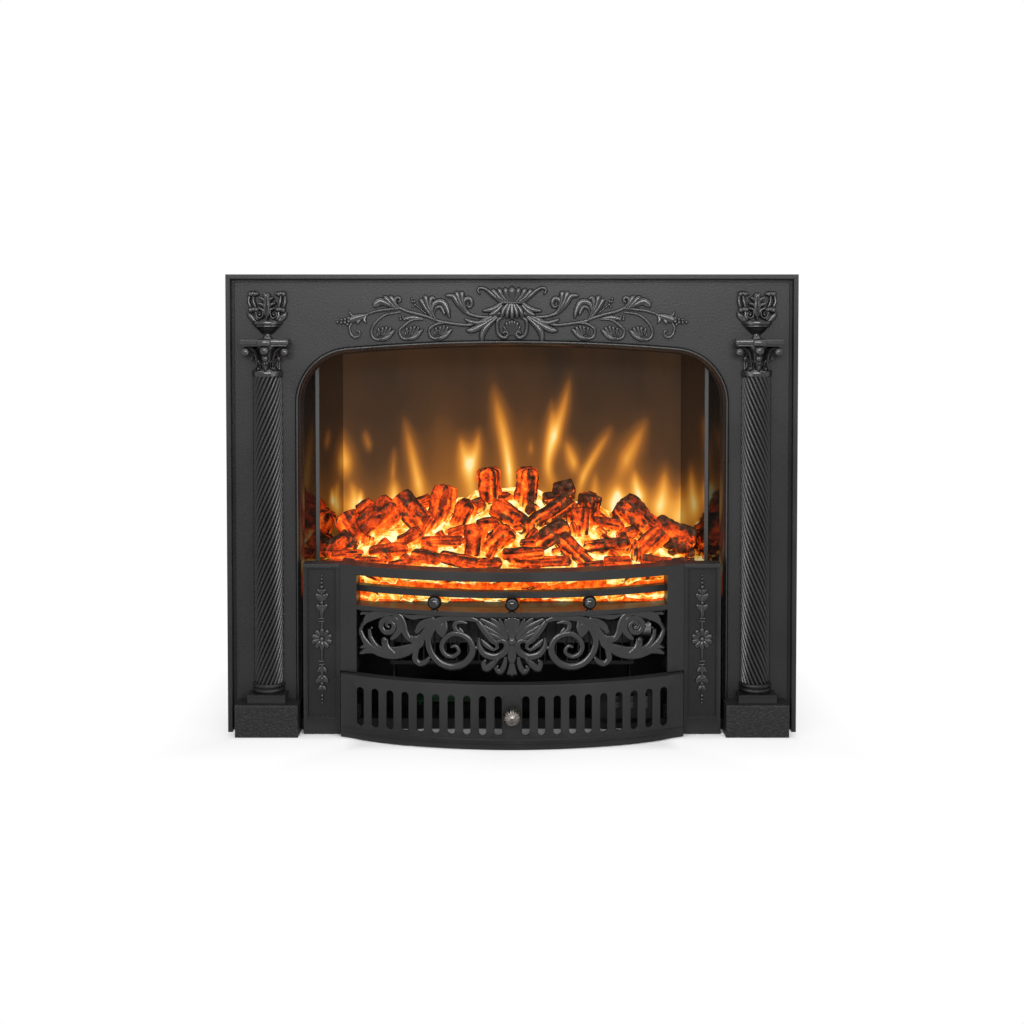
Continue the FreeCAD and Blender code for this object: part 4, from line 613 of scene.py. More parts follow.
GARLAND_CURL_LEAF = [
    [(440, 470, 14), (432, 440, 26), (430, 418, 22)], [(452, 470, 16), (460, 434, 28), (464, 410, 24)],
    [(462, 474, 16), (484, 432, 28), (494, 406, 24)], [(472, 480, 16), (508, 440, 28), (524, 414, 24)],
    [(470, 494, 20), (520, 462, 36), (548, 438, 28), (560, 432, 10)],
    [(430, 500, 20), (470, 500, 38), (515, 476, 34), (540, 450, 18)],
]
GARLAND_CURL_AT = [
    (0, 0, [(600, 290, 18), (480, 312, 22), (402, 378, 24)]),
    (220, -5, [(780, 345, 18), (695, 352, 22), (628, 398, 24)]),
    (450, -8, [(960, 378, 18), (900, 378, 22), (850, 402, 24)]),
]
BERRIES = [(108, 368, 15), (138, 372, 15), (140, 350, 14), (168, 346, 16), (166, 370, 16), (195, 338, 17),
           (196, 362, 17), (186, 386, 14), (690, 186, 13), (712, 206, 14), (694, 208, 13), (716, 232, 14),
           (700, 246, 12), (738, 250, 12), (600, 326, 13), (622, 320, 12), (602, 346, 13), (630, 348, 12)]
CURL_HEIGHT = 3.8
CURL_LEAF_HEIGHT = 4.8
BERRY_HEIGHT = 1.8


def make_garland():
    clay = Clay()
    place = enlarged(GARLAND_MIDDLE, GARLAND_UNIT)

    def draw(rows, height, du=0, dv=0):
        stroke(clay, place, [(u + du, v + dv, wide) for u, v, wide in rows], height, on_field)

    for height, rows in GARLAND:
        draw(rows, height)
    for du, dv, lead in GARLAND_CURL_AT:
        stem = lead + [(u + du, v + dv, wide) for u, v, wide in GARLAND_CURL]
        draw(stem, CURL_HEIGHT)
        for rows in GARLAND_CURL_LEAF:
            draw(rows, CURL_LEAF_HEIGHT, du, dv)
    balls(clay, place, BERRIES, on_field, BERRY_HEIGHT)
    clay.mirror()
    for height, rows in GARLAND_MIDST:
        draw(rows, height)
    carving("top_garland_carving", clay, "top_garland")


# Pierced fret under the bars, on the bow of the grate

BOW_RADIUS = 482.0
BOW_CENTRE = 394.0
FRET_SETBACK = 6.6
FRET_BACK = -3.2
FRET_RISE = 5.4


def bow_front(x, setback):
    return BOW_CENTRE - np.sqrt((BOW_RADIUS - setback) ** 2 - np.square(x))


def on_bow(x, z, h):
    return np.stack([x, bow_front(x, FRET_SETBACK) - np.minimum(h, FRET_RISE), z], axis=-1)


# The fret's left half in an enlarged view: rows of place and width
FRET_UNIT = 0.1468
FRET_DROP = 0.14252
FRET_MIDDLE = (1478, 196.5)
FRET_SAG = 8.08
FRET_HALF = 202.0
FRET = [
    # Outer scroll and the band over it
    [(395, 310, 20), (372, 288, 26), (384, 262, 28), (420, 262, 30), (440, 300, 34), (412, 348, 38),
     (360, 352, 40), (326, 312, 40), (330, 262, 40), (376, 226, 40), (440, 226, 44), (484, 266, 48),
     (488, 330, 46), (450, 385, 40), (415, 412, 24)],
    [(160, 250, 16), (210, 195, 34), (300, 168, 44), (400, 164, 46), (480, 196, 50), (520, 270, 54),
     (540, 350, 50), (585, 410, 44), (640, 392, 30)],
    # Great stem, under the outer scroll and over the inner one, and the ridge inside its bend
    [(128, 330, 24), (160, 420, 46), (230, 500, 60), (330, 548, 64), (440, 560, 64), (550, 530, 62),
     (640, 460, 60), (710, 370, 60), (780, 280, 60), (880, 220, 56), (1000, 205, 52), (1110, 214, 48),
     (1180, 236, 30)],
    [(212, 330, 24), (228, 410, 34), (290, 490, 36), (380, 520, 34)],
    # Inner scroll
    [(900, 224, 30), (810, 290, 40), (760, 370, 44), (748, 450, 46), (780, 545, 48), (855, 625, 50),
     (960, 655, 50), (1065, 622, 50), (1132, 530, 48), (1122, 430, 44), (1050, 368, 42), (965, 358, 40),
     (895, 402, 38), (866, 475, 36), (895, 542, 34), (962, 562, 32), (1016, 518, 28), (990, 466, 24),
     (950, 476, 20)],
    # Leaves at the outer end
    [(430, 176, 30), (310, 190, 54), (200, 238, 46), (150, 300, 16)],
    [(180, 240, 18), (150, 290, 30), (128, 340, 24)],
    [(330, 548, 30), (230, 520, 56), (128, 552, 24)], [(300, 520, 24), (200, 486, 40), (128, 500, 16)],
    [(150, 400, 20), (130, 380, 30), (124, 320, 14)], [(220, 190, 20), (170, 180, 30), (130, 190, 20)],
    # Leaves between the scrolls
    [(352, 420, 50), (372, 490, 56), (450, 548, 30)], [(400, 500, 30), (470, 510, 44), (600, 470, 30)],
    [(512, 184, 20), (600, 206, 44), (700, 196, 40), (820, 190, 16)],
    [(640, 350, 30), (690, 280, 56), (790, 222, 40)],
    [(560, 400, 40), (620, 420, 44), (670, 380, 30)], [(700, 400, 20), (690, 450, 30), (660, 490, 24)],
    [(716, 380, 24), (668, 450, 30), (640, 520, 40), (630, 590, 46), (670, 632, 44), (724, 612, 40),
     (756, 572, 20)],
    [(848, 250, 30), (856, 310, 80), (872, 372, 40)], [(900, 240, 24), (890, 300, 50), (880, 370, 24)],
    [(1030, 352, 24), (984, 306, 36), (986, 262, 36), (1030, 246, 34), (1086, 258, 18)],
    [(1020, 300, 16), (1040, 330, 28), (1060, 356, 16)],
    # Wing beside the palmette
    [(1160, 214, 30), (1230, 310, 50), (1310, 410, 50), (1350, 440, 30)],
    [(1436, 404, 24), (1330, 296, 50), (1210, 222, 30)],
    [(1430, 398, 24), (1356, 276, 46), (1296, 212, 26)],
    [(1420, 410, 24), (1330, 350, 44), (1240, 282, 24)],
    [(1410, 418, 24), (1350, 384, 36), (1286, 346, 20)],
    [(1440, 392, 20), (1400, 290, 36), (1370, 220, 22)],
    # Scroll under the wing, the drops
    [(1192, 388, 16), (1196, 470, 40), (1246, 540, 50), (1340, 560, 52), (1416, 512, 50), (1430, 446, 42),
     (1386, 414, 36), (1342, 438, 30), (1352, 478, 26), (1322, 496, 18)],
    [(1210, 400, 14), (1250, 450, 40), (1320, 500, 24)],
    [(1352, 582, 30), (1296, 640, 50), (1250, 672, 46), (1232, 620, 36), (1250, 590, 16)],
    [(1424, 560, 26), (1410, 640, 40), (1376, 698, 46), (1342, 670, 34), (1356, 640, 16)],
    [(1330, 556, 30), (1352, 582, 30), (1340, 600, 20)],
    # Palmette and the flutes of the pendant
    [(1466, 396, 16), (1440, 310, 34), (1426, 230, 34)],
    [(1472, 394, 16), (1456, 300, 32), (1452, 218, 34)],
    [(1466, 620, 20), (1456, 690, 30), (1446, 716, 26)],
]
FRET_MIDST = [
    [(1478, 394, 18), (1478, 300, 34), (1478, 214, 36)],
    [(1478, 440, 40), (1478, 540, 72), (1478, 606, 50)],
    [(1478, 600, 40), (1478, 680, 50), (1478, 722, 44)],
]
FRET_BEADS = [(352, 420, 26), (600, 388, 16), (652, 388, 14), (1165, 480, 20), (1436, 330, 12),
              (236, 316, 12)]
FRET_HEIGHT = 4.4
# The fret's strokes are drawn wider than in the view, and take turns at three heights
FRET_GROW = 1.35
FRET_MIDST_GROW = 1.2
FRET_LOWEST = 0.85
FRET_STEP = 0.15
FRET_BEAD_HEIGHT = 2.0
# Boss under the palmette: height in the view, radius, height over the ground
FRET_BOSS = (425, 48, -1.6)
# Rail along the top of the fret: height over the floor, half width, thickness; spacing of its rows
FRET_RAIL = (166.2, 1.7, 1.6)
FRET_RAIL_PACE = 4


def fret_place(u, v):
    x = (u - FRET_MIDDLE[0]) * FRET_UNIT
    return x, FRET_MIDDLE[1] - FRET_SAG * (x / FRET_HALF) ** 2 - FRET_DROP * v, FRET_UNIT


def make_fret():
    clay = Clay()
    for index, rows in enumerate(FRET):
        height = FRET_HEIGHT * (FRET_LOWEST + FRET_STEP * (index % 3) / 2)
        stroke(clay, fret_place, rows, height, on_bow, FRET_GROW, FRET_BACK)
    balls(clay, fret_place, FRET_BEADS, on_bow, FRET_BEAD_HEIGHT)
    clay.mirror()
    for rows in FRET_MIDST:
        stroke(clay, fret_place, rows, FRET_HEIGHT, on_bow, FRET_MIDST_GROW, FRET_BACK)
    balls(clay, fret_place, [(FRET_MIDDLE[0], *FRET_BOSS)], on_bow)
    rail = [(x, *FRET_RAIL) for x in (-FRET_HALF, 0, FRET_HALF)]
    strip(clay, rail, on_bow, ROUND, FRET_BACK, FRET_RAIL_PACE)
    carving("fret_carving", clay, "fret_panel")


# Columns

COLUMN_X = 321.5
SHAFT = (66.3, 470.3)
SHAFT_RADIUS = 19.55
SHAFT_GROOVE = 2.9
SHAFT_STARTS = 20
SHAFT_LEAD = 246.0
SHAFT_PER_RIDGE = 10
SHAFT_ROWS = 130
SHAFT_FULLNESS = 0.75


def make_shaft(side, hand):
    clay = Clay()
    heights = np.linspace(*SHAFT, SHAFT_ROWS)
    around = SHAFT_STARTS * SHAFT_PER_RIDGE
    phase = np.arange(around) / around * 2 * math.pi
    ridge = np.abs(np.sin(np.arange(around) / SHAFT_PER_RIDGE * math.pi)) ** SHAFT_FULLNESS
    radius = SHAFT_RADIUS - SHAFT_GROOVE * (1 - ridge)
    angle = phase[None, :] + hand * 2 * math.pi * heights[:, None] / SHAFT_LEAD
    clay.loft(in_field(side * COLUMN_X, radius, angle, heights[:, None]))
    name = SIDE_NAMES[side]
    carving(f"column_rope_{name}", clay, f"column_shaft_{name}", flat=75, look="rope_black")


TURNED_AROUND = 96


def turned(clay, x, profile, flutes=0, depth=0.0, between=(0, 0)):
    """A round standing half out of the field, from rows of radius and height."""
    angle = np.radians(np.linspace(0, 360, TURNED_AROUND, endpoint=False))
    radius, height = np.array(profile, float).T
    fluted = np.where((height > between[0]) & (height < between[1]), depth, 0.0)
    reach = radius[:, None] - fluted[:, None] * (0.5 + 0.5 * np.cos(flutes * angle))
    clay.loft(in_field(x, reach, angle, height[:, None]))


def block(clay, low, high, soft):
    """A slab with softened edges."""
    (x0, y0, z0), (x1, y1, z1) = low, high
    rings = []
    for z, inset in ((z0, soft), (z0 + soft, 0), (z1 - soft, 0), (z1, soft)):
        left, right, front = x0 + inset, x1 - inset, y0 + inset
        rings.append([(left, y1, z), (left, y0 + soft, z), (left + soft, front, z),
                      (right - soft, front, z), (right, y0 + soft, z), (right, y1, z)])
    clay.loft(rings)


# Urn and capital share one enlarged view: height, then rows of place and width on its left half
URN_UNIT = 0.1174
URN_MIDDLE = (410, 596.6)
URN = [
    (6.6, [(196, 158, 40), (225, 152, 56), (280, 152, 56), (312, 156, 36)]),
    (6.2, [(212, 180, 36), (206, 240, 36), (226, 300, 38)]),
    (6.2, [(256, 180, 36), (262, 240, 36), (284, 300, 36)]),
    (7.2, [(205, 340, 40), (240, 330, 56), (300, 326, 52), (316, 330, 30)]),
    (6.4, [(196, 350, 24), (214, 390, 56), (250, 430, 64), (280, 462, 40)]),
    (5.4, [(280, 340, 30), (290, 400, 60), (300, 450, 40)]),
    (8.0, [(380, 300, 24), (372, 350, 28), (360, 410, 28), (325, 424, 28), (296, 392, 26), (312, 356, 24),
           (338, 364, 20), (340, 388, 16)]),
    (8.2, [(400, 420, 22), (384, 350, 38), (340, 318, 38), (308, 310, 16)]),
    (8.6, [(400, 330, 26), (370, 280, 44), (330, 262, 40), (312, 252, 18)]),
    (8.6, [(402, 270, 26), (376, 220, 44), (346, 200, 40), (330, 204, 16)]),
    (8.4, [(404, 230, 26), (388, 178, 46), (394, 148, 24)]),
    (8.8, [(408, 420, 30), (392, 320, 46), (396, 240, 56), (404, 160, 36)]),
]
# Balls: place in the view, radius, height over the field
URN_BALLS = [(225, 156, 30, 4.6), (278, 156, 28, 4.6), (228, 336, 30, 5.2), (290, 330, 26, 5.2),
             (330, 386, 16, 7)]
# Rounds: radius and height over the floor
URN_BOWL = [(7, 519.7), (7, 520.6), (5.2, 522.5), (5.0, 525.2), (7.4, 526.0), (7.6, 527), (9.4, 528.2),
            (13.2, 532.2), (15.0, 534.6), (15.2, 535.2), (17.2, 535.6), (17.4, 537.4), (16.8, 537.9),
            (16.8, 538.3), (19.8, 538.8), (20.2, 540.4), (19.6, 542.4), (4, 542.8)]
CAPITAL_BELL = [(19.6, 470.4), (20.3, 471.6), (20.3, 476.6), (19.4, 478), (15.6, 478.2), (15.4, 486),
                (15.6, 496), (17, 504), (21, 509.6), (21, 511)]
CAPITAL = [
    (23.0, [(196, 752, 30), (240, 756, 40), (290, 792, 42), (312, 860, 42), (322, 960, 36)]),
    (21.0, [(330, 960, 30), (300, 900, 36), (268, 866, 30)]),
    (20.0, [(350, 1000, 30), (352, 940, 44), (330, 905, 30)]),
    (20.5, [(380, 1000, 30), (385, 950, 40), (372, 918, 26)]),
]
CAPITAL_BALLS = [(195, 800, 52, 19.0), (265, 870, 26, 16.0), (330, 905, 20, 18.0)]
# Buds on the axis: height over the floor, radius, height over the field
CAPITAL_BUDS = [(504.8, 6.8, 22.5), (494.4, 5.0, 18.5)]
# Flutes of the urn's bowl: count, depth and the heights between which they run
URN_FLUTES = (40, 1.1, (528.4, 535))
# The urn's spike: height over the floor, half width, thickness
URN_SPIKE = [(545, 2.4, 9), (560, 1.9, 9.6), (576, 1.0, 8.8)]
URN_GROW = 1.15
# The capital's two rows of leaves: places across, heights of the midrib, width, thickness, opening
CAPITAL_LEAVES = [
    ((-20, -10, 0, 10, 20), (478, 484, 489.5), 7.6, 2.8, 40),
    ((-15, 15), (484, 494, 500), 7.2, 3.0, 38),
]
LEAF_PAIRS = 3
LEAF_BEND_RADIUS = 16.0
CAPITAL_BASE = 8
# The capital's slabs: half width, front, foot, top and softness of the edges
CAPITAL_SLABS = [(29.4, -38.4, 509.9, 512.4, 0.7), (31, -40, 512.0, 519.6, 1.2),
                 (8.8, -44.6, 510.6, 519.2, 1.6)]


def both_sides(clay, x, strokes, rounds, base=-0.5):
    """Strokes and balls on both sides of a column's axis."""
    place = enlarged(URN_MIDDLE, URN_UNIT)
    for hand in (1, -1):
        def lay(across, z, h):
            return on_field(x + hand * across, z, h)

        for height, rows in strokes:
            stroke(clay, place, rows, height, lay, URN_GROW, base)
        balls(clay, place, rounds, lay)


def make_urn(side):
    clay = Clay()
    x = side * COLUMN_X
    turned(clay, x, URN_BOWL, *URN_FLUTES)
    both_sides(clay, x, URN, URN_BALLS)
    strip(clay, [(x, *row) for row in URN_SPIKE], on_field)
    name = SIDE_NAMES[side]
    carving(f"urn_carving_{name}", clay, f"urn_{name}")


def make_capital(side):
    clay = Clay()
    x = side * COLUMN_X
    turned(clay, x, CAPITAL_BELL)
    bell_reach, bell_height = zip(*CAPITAL_BELL)

    def lay(across, z, h):
        return in_field(x, np.interp(z, bell_height, bell_reach) + h, across / LEAF_BEND_RADIUS, z)

    for places, heights, width, height, opening in CAPITAL_LEAVES:
        for across in places:
            leaf(clay, [(across, z) for z in heights], width, height, LEAF_PAIRS, lay, opening)
    both_sides(clay, x, CAPITAL, CAPITAL_BALLS, CAPITAL_BASE)
    for z, radius, height in CAPITAL_BUDS:
        bead(clay, x, z, radius, height, on_field)
    for half, front, foot, top, soft in CAPITAL_SLABS:
        block(clay, (x - half, front, foot), (x + half, FIELD, top), soft)
    name = SIDE_NAMES[side]
    carving(f"capital_carving_{name}", clay, f"capital_{name}", flat=50)


# Arch trim: one moulding swept up the legs, round the shoulders and over the crown

OPENING_HALF = 276.0
OPENING_CROWN = 508.5
CROWN_RADIUS = 2500.0
SHOULDER_RADIUS = 65.0
TRIM_FOOT = 42.3
# Offset out from the opening and distance in front of the wall plane
TRIM_PROFILE = [(10, 13.8), (10, 15.2), (9.8, 15.7), (9.5, 15.6), (9.3, 15.0), (9.0, 15.8), (8.6, 17.5),
                (7.9, 18.8), (7.0, 19.2), (6.1, 18.8), (5.4, 17.6), (5.1, 16.4), (4.8, 16.0), (4.5, 16.2),
                (3.4, 14.6), (2.2, 11), (1.0, 6), (0.2, 0.2), (3, 0.2), (3, 13.8)]
LEG_ROWS = 12
SHOULDER_ROWS = 22
CROWN_ROWS = 14


def make_trim():
    clay = Clay()
    corner_x = OPENING_HALF - SHOULDER_RADIUS
    crown_z = OPENING_CROWN - CROWN_RADIUS
    corner_z = crown_z + math.sqrt((CROWN_RADIUS - SHOULDER_RADIUS) ** 2 - corner_x**2)
    lean = math.asin(corner_x / (CROWN_RADIUS - SHOULDER_RADIUS))
    offset, forward = np.array(TRIM_PROFILE).T
    rings = []
    for z in np.linspace(TRIM_FOOT, corner_z, LEG_ROWS)[:-1]:
        rings.append((OPENING_HALF + offset, np.full_like(offset, z)))
    for angle in np.linspace(0, math.pi / 2 - lean, SHOULDER_ROWS):
        reach = SHOULDER_RADIUS + offset
        rings.append((corner_x + reach * math.cos(angle), corner_z + reach * math.sin(angle)))
    for angle in np.linspace(lean, 0, CROWN_ROWS)[1:]:
        reach = CROWN_RADIUS + offset
        rings.append((reach * math.sin(angle), crown_z + reach * math.cos(angle)))
    rings += [(-x, z) for x, z in rings[-2::-1]]
    clay.loft([np.stack([x, -forward, z], axis=-1) for x, z in rings])
    carving("arch_moulding", clay, "arch_trim", flat=50, look="moulding")


# Floral drops in the recesses of the pilasters

PILASTER_X = 249.75
RECESS = -27.0
# Beads: height over the floor and radius
DROP_BEADS = [(209, 1.5), (204.6, 1.9), (199.6, 2.3), (194.2, 2.6), (173.2, 2.6), (73.2, 2.4), (66.6, 2.6),
              (50.4, 2.4), (45.4, 2.0), (40.8, 1.6)]
BEAD_RISE = 0.55
# Pairs of leaves: height over the floor, length, and 1 where they point up
DROP_PAIRS = [(188, 8, 1), (178, 13, 1), (165, 11.5, 1), (86, 10, -1), (74.5, 13, -1), (61, 8.6, -1)]
# The outer and the inner leaf of a pair: place aside, turn, length, width, height and bend
PAIR_LEAVES = [(0.8, 52, 1.0, 0.46, 2.8, 34), (0.6, 26, 0.8, 0.36, 2.6, 18)]
PAIR_ROOT = 3
# Stems, top to bottom: height over the floor, half width and thickness; the first comes before the ties
DROP_STEMS = [
    [(196, 1.0, 2), (182, 1.5, 2.4), (168, 2.6, 2.8), (160, 3.2, 3), (154, 2.0, 2.8)],
    [(150, 1.6, 2.4), (140, 2.2, 2.6), (130, 1.6, 2.4)],
    [(120, 1.4, 2.4), (108, 2.2, 2.6), (96, 1.6, 2.4)],
    [(92, 2.2, 2.8), (86, 3.2, 3), (78, 2.4, 2.8), (64, 1.4, 2.4), (48, 1.0, 2)],
]
DROP_TIES = (152.6, 149, 96, 92)
TIE_HALF = 3.4
TIE_SIZE = (1.3, 2.6)
# Rosette: height over the floor, petals, their start, length, width and thickness, and its button
ROSETTE_Z = 125.3
PETALS = 10
PETAL_START = 3.2
PETAL_SIZE = (11.2, 7, 3.2)
BUTTON = (3.6, 1.4)


def make_drop(side):
    clay = Clay()

    def lay(across, z, h):
        return np.stack([side * PILASTER_X + across, RECESS - h, z + 0 * h], axis=-1)

    def stem(rows):
        strip(clay, [(0, *row) for row in rows], lay)

    for z, radius in DROP_BEADS:
        bead(clay, 0, z, radius, radius * BEAD_RISE, lay)
    for z, reach, up in DROP_PAIRS:
        for hand in (-1, 1):
            for aside, turn, long, wide, height, bend in PAIR_LEAVES:
                lobe(clay, hand * aside, z - up * PAIR_ROOT, 90 * up - hand * up * turn, reach * long,
                     reach * wide, height, lay, hand * up * bend)
    stem(DROP_STEMS[0])
    for z in DROP_TIES:
        strip(clay, [(-TIE_HALF, z, *TIE_SIZE), (TIE_HALF, z, *TIE_SIZE)], lay)
    for rows in DROP_STEMS[1:]:
        stem(rows)
    for index in range(PETALS):
        heading = 360 / PETALS * (index + 0.5)
        across = PETAL_START * math.cos(math.radians(heading))
        up = PETAL_START * math.sin(math.radians(heading))
        lobe(clay, across, ROSETTE_Z + up, heading, *PETAL_SIZE, lay)
    bead(clay, 0, ROSETTE_Z, *BUTTON, lay)
    name = SIDE_NAMES[side]
    carving(f"drop_carving_{name}", clay, f"drop_{name}")


# Pull knob of the ash cover

KNOB_Z = 46.4
KNOB_FLUTES = 16
KNOB_PER_FLUTE = 8
FLUTE_FALL = 1.5
# Radius, distance in front of the wall plane as y, depth of the flutes
KNOB_PROFILE = [
    (6.8, -97.2, 0), (6.8, -103.5, 0), (8.2, -105, 0), (10.4, -105.6, 0), (11.3, -106.6, 0),
    (11.5, -107.8, 0.5), (11.2, -109.6, 1.0), (10.2, -112.2, 1.1), (8.6, -114.4, 1.1), (6.4, -116.2, 0.9),
    (4.2, -117.2, 0.5), (3.4, -117.3, 0), (2.8, -117.8, 0), (0.6, -118, 0),
]


def make_knob():
    clay = Clay()
    angle = np.radians(np.linspace(0, 360, KNOB_FLUTES * KNOB_PER_FLUTE, endpoint=False))
    groove = (1 - np.abs(np.sin(angle * KNOB_FLUTES / 2))) ** FLUTE_FALL
    rings = []
    for radius, y, depth in KNOB_PROFILE:
        reach = radius - depth * groove
        across, up = reach * np.sin(angle), reach * np.cos(angle)
        rings.append(np.stack([across, np.full_like(angle, y), KNOB_Z + up], axis=-1))
    clay.loft(rings)
    piece("cover_knob_fluted", clay, "pewter", "cover", "cover_knob", flat=60)


make_garland()
make_fret()
make_trim()
for hand in (-1, 1):
    make_shaft(hand, -hand)
    make_urn(hand)
    make_capital(hand)
    make_drop(hand)
make_knob()


# Flame screen

# Corner and scale of an enlarged view of the recess, in pixels of the photograph
VIEW_CORNER = (300.0, 340.0)
VIEW_SCALE = 3.733
# Plane of the screen, and how many mm one pixel of the photograph covers there
SCREEN_FRONT = 105.0
SCREEN_PIXEL = 1.4076
SCREEN_COLUMNS = 209
SCREEN_ROWS = 150
# Haze over the embers: strength, foot, fade with height, fall to the sides
HAZE = (0.50, 285, 78, 0.35)
HAZE_HALF = 250
# Faint glow in the middle: strength, half width, top, fade
MIDDLE_GLOW = (0.05, 190, 480, 120)
# A tongue: steps along it, glow of its root and how fast that rises, slenderness, softness of its edge
TONGUE_STEPS = 36
TONGUE_ROOT = 0.35
TONGUE_RISE = 3
TONGUE_SLENDER = 0.55
TONGUE_FALL = (0.55, 0.8)
# Where the glow passes this level, a further tongue adds less
CROWDED = 0.4
CROWDED_LOSS = 0.45
EDGE_GLOW = 0.05
BACK_GLOW = 0.02
# Tongues from root to tip: power, then rows of place and width in the enlarged view
TONGUES = [
    (0.62, [(180, 490, 16), (162, 440, 26), (132, 380, 22), (116, 335, 7)]),
    (0.35, [(262, 405, 8), (247, 365, 11), (240, 338, 4)]),
    (0.50, [(458, 610, 16), (432, 490, 17), (408, 380, 17), (383, 270, 9)]),
    (0.55, [(350, 620, 22), (352, 560, 15), (356, 528, 4)]),
    (0.28, [(345, 520, 9), (350, 450, 9), (352, 395, 5)]),
    (0.48, [(630, 490, 22), (612, 425, 19), (594, 355, 6)]),
    (0.48, [(632, 490, 20), (658, 410, 17), (669, 325, 6)]),
    (0.25, [(645, 580, 18), (632, 490, 16)]),
    (0.62, [(786, 580, 14), (780, 480, 15), (764, 375, 19), (742, 275, 22), (718, 150, 15)]),
    (0.45, [(945, 540, 14), (926, 470, 14), (938, 330, 17), (938, 205, 6)]),
    (0.58, [(935, 420, 16), (964, 320, 19), (990, 225, 17), (1012, 120, 8)]),
    (0.50, [(1032, 480, 12), (1010, 430, 17), (990, 372, 6)]),
    (0.20, [(862, 415, 10), (862, 375, 6)]),
    (0.48, [(1040, 570, 11), (1062, 500, 11), (1112, 410, 12), (1150, 352, 11), (1166, 315, 5)]),
    (0.48, [(1196, 490, 18), (1230, 425, 22), (1270, 350, 19), (1302, 285, 8)]),
    (0.80, [(1185, 640, 30), (1185, 590, 18), (1188, 550, 5)]),
    (0.62, [(1275, 610, 22), (1255, 545, 16), (1250, 490, 6)]),
    (0.50, [(1330, 670, 26), (1354, 570, 21), (1364, 470, 8)]),
    (0.52, [(1400, 700, 38), (1430, 610, 27), (1425, 530, 10)]),
    (0.45, [(130, 650, 32), (122, 590, 22), (110, 535, 8)]),
    (0.50, [(195, 650, 22), (202, 590, 16), (190, 535, 7)]),
    (0.50, [(225, 620, 10), (228, 565, 6)]),
    (0.60, [(912, 640, 16), (905, 580, 8)]),
    (0.30, [(1110, 640, 12), (1100, 560, 12), (1106, 490, 6)]),
    (0.10, [(560, 520, 80), (520, 330, 70), (470, 220, 40)]),
    (0.10, [(830, 480, 90), (830, 300, 70), (800, 200, 40)]),
    (0.10, [(1150, 520, 80), (1180, 420, 60), (1200, 330, 30)]),
]


def in_view(u, v, y):
    return sight(VIEW_CORNER[0] + u / VIEW_SCALE, VIEW_CORNER[1] + v / VIEW_SCALE, y)


def tongue_glow(rows, xs, zs):
    """Glow of one tongue over the grid of the screen."""
    unit = SCREEN_PIXEL / VIEW_SCALE
    path = smooth_path([(*in_view(u, v, SCREEN_FRONT), width * unit) for u, v, width in rows], TONGUE_STEPS)
    total = np.zeros_like(xs)
    sharp, power = TONGUE_FALL
    for index, (x, z, width) in enumerate(path):
        share = index / (len(path) - 1)
        fade = min(1, TONGUE_ROOT + share * TONGUE_RISE) * (1 - share**4)
        across = ((xs - x) ** 2 + ((zs - z) * TONGUE_SLENDER) ** 2) / max(width, 1.0) ** 2
        total = np.maximum(total, fade * np.exp(-((across * sharp) ** power)))
    return total


def screen_glow(xs, zs):
    strength, foot, fade, fall = HAZE
    heat = strength * np.exp(-np.maximum(zs - foot, 0) / fade) * (1 - fall * (xs / HAZE_HALF) ** 2)
    strength, half, top, fade = MIDDLE_GLOW
    heat += strength * np.exp(-((xs / half) ** 2)) * np.clip((top - zs) / fade, 0, 1)
    for power, rows in TONGUES:
        heat += power * tongue_glow(rows, xs, zs) * (1 - CROWDED_LOSS * np.clip(heat - CROWDED, 0, 1))
    return np.clip(heat, 0, 1)


def make_screen():
    clay = Clay()
    low, high = [np.array(corner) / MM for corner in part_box("flame_screen")]
    across = np.linspace(low[0], high[0], SCREEN_COLUMNS)
    xs, zs = np.meshgrid(across, np.linspace(low[2], high[2], SCREEN_ROWS))
    front = np.stack([xs, np.full_like(xs, low[1]), zs], axis=-1)
    behind = front.copy()
    behind[..., 1] = high[1]
    clay.loft(front, closed=False, caps=False, glow_level=screen_glow(xs, zs))
    rim = [(0, slice(None)), (slice(None), -1), (-1, slice(None, None, -1)), (slice(None, None, -1), 0)]
    edge = np.stack([np.concatenate([face[part] for part in rim]) for face in (front, behind)])
    clay.loft(edge, closed=True, caps=False, glow_level=EDGE_GLOW)
    back = np.array([[behind[0, 0], behind[0, -1]], [behind[-1, 0], behind[-1, -1]]])
    clay.loft(back, closed=False, caps=False, glow_level=BACK_GLOW)
    piece("flame_screen_picture", clay, "screen", "insert", "flame_screen")


# Ember bed: a glowing mound and the logs laid on it

BED_RIM = 206.0
BED_BACK = 100.0
BED_SETBACK = 37.0
BED_FOREMOST = -6.0
BED_FOOT = 170.4
BED_HALF = 252
BED_COLUMNS = 169
BED_ROWS = 49
# The mound lies under the skyline of the logs and rises steeply at its front
BED_UNDER_LOGS = 14
BED_RISE = 0.62
# Unevenness of the mound: height, fineness and a level of the noise field
BED_RUMPLE = [(5, 0.07, 0), (2.2, 0.2, 9)]
RUMPLE_START = 6
# Glow of the mound, and how it varies: strength, fineness and a level of the noise field
BED_GLOW = 0.84
BED_GLOW_CHANGE = [(0.24, 0.05, 40), (0.30, 0.16, 70)]
# The mound's front wall: rows up it, then depth, bulge, pitch, noise level and fineness of its waves, glow
WALL_ROWS = (0.25, 0.5, 0.75)
WALL_WAVE = (1.5, 3.1, 40, 5, 0.08)
WALL_GLOW = 0.46
BACK_WALL_GLOW = 0.4
END_WALL = {"glow_level": 0.5, "char_level": 0.3}
# Height over the bed to which its light reaches up the logs
EMBER_SHINE = 13.0
